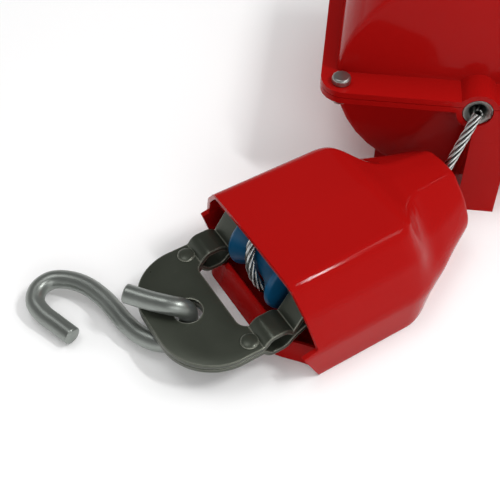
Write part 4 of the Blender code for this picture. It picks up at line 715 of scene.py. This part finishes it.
def plate_outlines():
    """The plate's outer and inner outline from one arm's tip round the front to the other's, with as
    many points each; along the arms a point has the same x on both."""
    tip = np.radians(np.linspace(90, 0, 10))[:, None]
    corner = np.radians(np.linspace(0, 90, 40))[:, None]
    bend = WINDOW_FRONT + ARM_CORNER
    arm_x = np.arange(ARM_REAR - ARM_CORNER - 0.4 * MM, bend, -0.4 * MM)[:, None]
    tip_x, tip_y = ARM_REAR - ARM_CORNER * (1 - np.sin(tip)), ARM_CORNER * (1 - np.cos(tip))
    outlines = []
    for half, way, front, radius in ((PLATE_HALF, 1, PLATE_FRONT, PLATE_CORNER),
                                     (ARM_INNER, -1, WINDOW_FRONT, ARM_CORNER)):
        arm = np.vstack([np.hstack([tip_x, way * tip_y - half]), np.hstack([arm_x, 0 * arm_x - half])])
        turn = np.hstack([front + radius * (1 - np.sin(corner)), radius * (1 - np.cos(corner)) - half])
        right = np.vstack([[(bend, -half)], turn])
        round_front = resampled(np.vstack([right, right[::-1] * (1, -1)]), 181)
        outlines.append(np.vstack([arm, round_front, arm[::-1] * (1, -1)]))
    return outlines


def plate_piece(name, way):
    """The plate: a ring of points between its two outlines, across the flat, round the edges and back,
    lifted to the arms' heights, with the thickness laid along the slope's own normal."""
    outer, inner = plate_outlines()
    span = np.maximum(np.linalg.norm(outer - inner, axis=1), 2.2 * PLATE_EDGE)
    direction = (outer - inner) / span[:, None]
    quarter = np.radians(np.array([0, 30, 60, 90]))
    edge_in, edge_up = PLATE_EDGE * (1 - np.sin(quarter)), PLATE_EDGE * (1 - np.cos(quarter))
    # the ring: up the inner edge, across the top, down the outer edge, and back across the joint face
    columns = [inner + direction * near for near in (*edge_in, *edge_in[::-1])]
    columns += [inner + (outer - inner) * share for share in (0.25, 0.5, 0.75)]
    columns += [outer - direction * near for near in (*edge_in, *edge_in[::-1])]
    columns += [inner + (outer - inner) * share for share in (0.75, 0.5, 0.25)]
    rises = np.array([*edge_up, *(PLATE_THICK - edge_up[::-1]), *[PLATE_THICK] * 3,
                      *(PLATE_THICK - edge_up), *edge_up[::-1], *[0.0] * 3])
    flat = np.stack(columns, axis=1)
    step = 0.05 * MM
    slope = (arm_heights(flat[..., 0] + step, way) - arm_heights(flat[..., 0] - step, way)) / (2 * step)
    size = np.sqrt(1 + slope ** 2)
    z = arm_heights(flat[..., 0], way) + way * rises / size
    x = flat[..., 0] - way * rises * slope / size
    points = np.stack([x, flat[..., 1], z], axis=-1)
    piece = tidy(skin(name, points, around=True, caps=True), merge=2e-5)
    cutter = lathe(name + "_cutter", [0, HOLE_RADIUS, HOLE_RADIUS, 0], np.array([-6, -6, 6, 6]) * MM,
                   HOLE_PLACE, (0, 0, 1), 64)
    modifier(piece, "BOOLEAN", operation="DIFFERENCE", solver="EXACT", object=cutter)
    modifier(piece, "BEVEL", width=0.35 * MM, segments=2, limit_method="ANGLE",
             angle_limit=math.radians(60))
    view = bpy.context.evaluated_depsgraph_get()
    shaped = bpy.data.meshes.new_from_object(piece.evaluated_get(view))
    piece.modifiers.clear()
    piece.data = shaped
    bpy.data.objects.remove(cutter)
    return piece


for word, way in (("upper", 1), ("lower", -1)):
    plate = plate_piece("frame_plate_" + word + "_stamping", way)
    dressed(plate, PLATE, "hook_frame", "frame_plate_" + word, smooth=40)

# each rivet has a flat dome at both ends, seated in the plates below the ends of its solid
RIVET_SEAT, RIVET_DOME, RIVET_ACROSS = 1.8 * MM, 1.2 * MM, 28 * MM
dome = np.linspace(0, math.pi / 2, 10)
for place, along, shank, head in (("front", -24.0 * MM, 2.4 * MM, 4.1 * MM),
                                  ("tail", 25.2 * MM, 1.8 * MM, 2.9 * MM)):
    for side, word in ((1, "left"), (-1, "right")):
        name = place + "_rivet_" + word
        low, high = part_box(name)
        top, bottom = high.z - RIVET_SEAT, low.z + RIVET_SEAT
        radii = np.concatenate([head * np.sin(dome), [shank, shank], head * np.cos(dome)])
        heights = np.concatenate([top + RIVET_DOME * np.cos(dome), [top, bottom],
                                  bottom - RIVET_DOME * np.sin(dome)])
        rivet = lathe(name + "_head", radii, heights, (along, side * RIVET_ACROSS, 0), (0, 0, 1), 40)
        dressed(rivet, PLATE, "hook_frame", name, smooth=50)

# ---- hooks ---------------------------------------------------------------------------------------
# Both hooks are bent from round steel bar, drawn smooth, with cut and slightly rounded ends. The
# front one hangs loose in its hole; the rear one is closed round the strap.


def bar_ends(path, radius, ease):
    """The bar's radius along it: eased to its cut ends over a quarter circle."""
    along = distance_along(path)
    near = np.minimum(along, along[-1] - along)
    short = np.clip(ease - near, 0, ease)
    return radius - ease + np.sqrt(np.maximum(ease ** 2 - short ** 2, 0))


# the solid's own centre line, in millimetres from the middle of the hole at the plates' joint: the
# free end above, round the front and down through the hole, then along below to the bowl
HOOK_ROUTE = [(-21.0, 18.5, 9.3), (-13.5, 10.0, 8.2), (-7.0, 3.2, 7.9), (-2.2, 0.4, 5.6),
              (0.0, 0.0, 0.0), (-2.4, -1.6, -6.0), (-8.0, -2.8, -9.2), (-15.0, -0.6, -9.8),
              (-20.4, 6.6, -9.8), (-23.3, 16.0, -9.8), (-24.6, 26.0, -9.6), (-26.2, 35.0, -9.4),
              (-29.6, 44.6, -9.2), (-35.0, 52.2, -9.2), (-42.2, 56.8, -9.4), (-49.4, 55.6, -9.8),
              (-53.6, 50.0, -10.4), (-53.2, 42.6, -11.2), (-50.0, 34.0, -11.9), (-46.4, 24.4, -12.4)]
HOOK_BAR, BAR_EASE = 4.4 * MM, 1.0 * MM
hook_path = even_path(np.array(HOOK_ROUTE) * MM + HOLE_PLACE, 0.4 * MM)
front_hook = carried("front_hook_bar", hook_path, bar_ends(hook_path, HOOK_BAR, BAR_EASE), 40)
dressed(front_hook, STEEL, "front_hook", "front_hook", smooth=60)

YAW = math.radians(51.3)
WINCH_PLACE = np.array([114.3, -0.3, 0.0]) * MM


def in_winch(points):
    """Points given along, across and up from the winch's own front foot, turned to where it stands."""
    points = np.asarray(points, float)
    c, s = math.cos(YAW), math.sin(YAW)
    return np.stack([c * points[..., 0] - s * points[..., 1], s * points[..., 0] + c * points[..., 1],
                     points[..., 2]], axis=-1) + WINCH_PLACE


REAR_BAR, REAR_EYE, REAR_BOWL, REAR_PLACE = 4.2 * MM, 10.0 * MM, 13.5 * MM, 172 * MM
rear_low, rear_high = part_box("rear_hook")
eye_middle = rear_high.z - REAR_BAR - REAR_EYE
bowl_middle = rear_low.z + REAR_BAR + REAR_BOWL
# two arcs in one upright plane: the eye, open below, and the bowl under it, which runs on past level
eye_turn = np.radians(np.linspace(-42, 250, 80))
bowl_turn = np.radians(np.linspace(155, 380, 70))
eye_part = np.stack([REAR_EYE * np.cos(eye_turn), eye_middle + REAR_EYE * np.sin(eye_turn)], axis=-1)
bowl_part = np.stack([REAR_EYE / 4 + REAR_BOWL * np.cos(bowl_turn),
                      bowl_middle + REAR_BOWL * np.sin(bowl_turn)], axis=-1)
rear_line = np.insert(np.vstack([eye_part, bowl_part]), 0, REAR_PLACE, axis=1)
rear_path = even_spacing(in_winch(rear_line), 0.4 * MM)
rear_hook = carried("rear_hook_bar", rear_path, bar_ends(rear_path, REAR_BAR, BAR_EASE), 40)
dressed(rear_hook, STEEL, "rear_hook", "rear_hook", smooth=60)

# ---- winch: housing ------------------------------------------------------------------------------
# The same red moulding in two halves: a lying barrel with a flat rim at the height of its shaft, a
# column under the cable's hole and two feet. Zinc plated bolts hold the rims together.
for half in ("upper", "lower"):
    refined("main_cover_" + half, RED, "winch_body", 0.7 * MM, 3)
for place in ("front_left", "front_right", "rear_left", "rear_right"):
    refined("cover_bolt_" + place, ZINC, "winch_body", 0.3 * MM)
refined("fairlead", STEEL, "winch_body", 0.3 * MM)

# a sheet over the upper part of the column's leaning front face, 0.04 mm proud of it, makes it one
# even face between the shelf and the floor
SHAFT_HEIGHT, RIM_FRONT, FACE_PROUD, FACE_THICK = 60 * MM, 8 * MM, 0.04 * MM, 1.2 * MM
FACE_LOW, FACE_HIGH, FACE_RIGHT, FACE_LEFT = 21.5 * MM, 41 * MM, -20.6 * MM, -4.0 * MM
face_rows = []
for z in (FACE_LOW, FACE_HIGH):
    x = RIM_FRONT * z / SHAFT_HEIGHT - FACE_PROUD
    face_rows.append([(x, FACE_RIGHT, z), (x, FACE_LEFT, z), (x + FACE_THICK, FACE_LEFT, z),
                      (x + FACE_THICK, FACE_RIGHT, z)])
column_face = tidy(skin("column_face", in_winch(np.array(face_rows)), around=True, caps=True))
dressed(column_face, RED, "winch_body")

# ---- winch: inner frame, drum and ratchets -------------------------------------------------------
# Steel side plates on four rods carry the shaft, with the drum and two saw-tooth wheels on it. A
# sprung pawl holds one wheel, and the lever's sprung pawl drives the other.
for side in ("left", "right"):
    refined("side_plate_" + side, STEEL, "winch_body")
for rod in ("front_lower", "front_upper", "rear_lower", "rear_upper"):
    refined("tie_rod_" + rod, STEEL, "winch_body", 0.3 * MM)
refined("rear_strap", STEEL, "winch_body", 0.5 * MM, 3)
refined("holding_pawl", ZINC, "holding_pawl", 0.3 * MM)
refined("holding_pawl_pin", ZINC, "winch_body", 0.2 * MM)
refined("holding_pawl_spring", STEEL, "winch_body", 0)
refined("drum", STEEL, "drum_and_shaft", 0.4 * MM)
refined("drum_shaft", ZINC, "drum_and_shaft", 0.3 * MM)
refined("ratchet_wheel", STEEL, "drum_and_shaft", 0.25 * MM)
refined("drive_wheel", ZINC, "drum_and_shaft", 0.25 * MM)
refined("shaft_nut", ZINC, "drum_and_shaft", 0.5 * MM)

# ---- winch: lever --------------------------------------------------------------------------------
# A stamped and plated steel arm that turns on the shaft, with a sprung pawl beside the drive wheel. A
# black rubber grip with fine ribs is pushed over its end.
refined("lever_arm", PLATE, "lever", 0.5 * MM, 3)
refined("drive_pawl", ZINC, "drive_pawl", 0.3 * MM)
refined("drive_pawl_pin", ZINC, "lever", 0.2 * MM)
refined("drive_pawl_spring", STEEL, "lever", 0)
RUBBER = moulding("black rubber", (0.02, 0.02, 0.02), (0.011, 0.011, 0.011), 0.5, 0.3)
GRIP_LENGTH, GRIP_RADIUS, GRIP_RIB, GRIP_RIB_PITCH = 81 * MM, 12.5 * MM, 0.55 * MM, 4.0 * MM
RIBS_START, RIBS_END, RIBS_FADE = 12 * MM, 68 * MM, 1 * MM
# its radius from the arm's end outwards, as a share of GRIP_RADIUS: place, share
GRIP_PROFILE = np.array([(0, 0.9), (1.2, 1.04), (3, 1.08), (12, 0.92), (53, 0.88), (71, 0.99),
                         (77, 1.0), (79.5, 0.9), (81, 0.7)])
grip_low, grip_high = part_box("lever_grip")
shaft_low, shaft_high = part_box("drum_shaft")
grip_middle = (np.array(grip_low) + np.array(grip_high)) / 2
lever_way = in_winch([1, 0, 0]) - in_winch([0, 0, 0])
lever_way *= np.sign(lever_way @ (grip_middle - (np.array(shaft_low) + np.array(shaft_high)) / 2))
# the ribs are a cosine wave cut into the profile, faded in and out at their two ends
grip_along = np.linspace(0, GRIP_LENGTH, 240)
grip_size = np.interp(grip_along, GRIP_PROFILE[:, 0] * MM, GRIP_PROFILE[:, 1])
ribbed = np.clip(np.minimum(grip_along - RIBS_START, RIBS_END - grip_along) / RIBS_FADE, 0, 1)
groove = 0.5 - 0.5 * np.cos(2 * math.pi * grip_along / GRIP_RIB_PITCH)
grip_radii = np.concatenate([[0], GRIP_RADIUS * grip_size - GRIP_RIB * ribbed * groove, [0]])
grip_heights = np.concatenate([[0], grip_along, [GRIP_LENGTH]]) - GRIP_LENGTH / 2
grip = lathe("lever_grip_rubber", grip_radii, grip_heights, grip_middle, lever_way, 64)
dressed(grip, RUBBER, "lever", "lever_grip", smooth=60)

# ---- winch: wound cable --------------------------------------------------------------------------
# The outer layer of turns on the drum, and the stretch that leads from the fairlead to it, are the
# same laid rope as the run outside.
SHAFT_PLACE, WINDING_RADIUS, WINDING_PITCH = 84 * MM, 28.7 * MM, 5.4 * MM
WINDING_TURNS, STEPS_PER_TURN = 8, 150
# a helix about the shaft, with a short straight piece at each end
wound = np.linspace(0, WINDING_TURNS, WINDING_TURNS * STEPS_PER_TURN + 1)
bearing = math.pi / 2 - 2 * math.pi * wound
winding = np.stack([SHAFT_PLACE + WINDING_RADIUS * np.cos(bearing),
                    WINDING_PITCH * (wound - WINDING_TURNS / 2),
                    SHAFT_HEIGHT + WINDING_RADIUS * np.sin(bearing)], axis=-1)
straight = np.array([2 * CABLE_RADIUS, 0, 0])
winding = np.vstack([[winding[0] - straight], winding, [winding[-1] + straight]])
winding_path = even_spacing(in_winch(winding), 1.2 * MM)
rope("cable_winding_rope", winding_path, "drum_and_shaft", "cable_winding", 36)
# the lead's points: along, and up; level through the fairlead, then rising to the winding
LEAD_SIDE, LEAD_HEIGHT = -3.2 * MM, 57.7 * MM
LEAD_POINTS = [(7.3 * MM, LEAD_HEIGHT), (12 * MM, LEAD_HEIGHT), (21 * MM, LEAD_HEIGHT),
               (38.3 * MM, 67.0 * MM), (55.6 * MM, 78.3 * MM)]
lead_path = even_path(in_winch([(x, LEAD_SIDE, z) for x, z in LEAD_POINTS]), 0.6 * MM)
rope("drum_lead_rope", lead_path, "winch_body", "drum_lead")
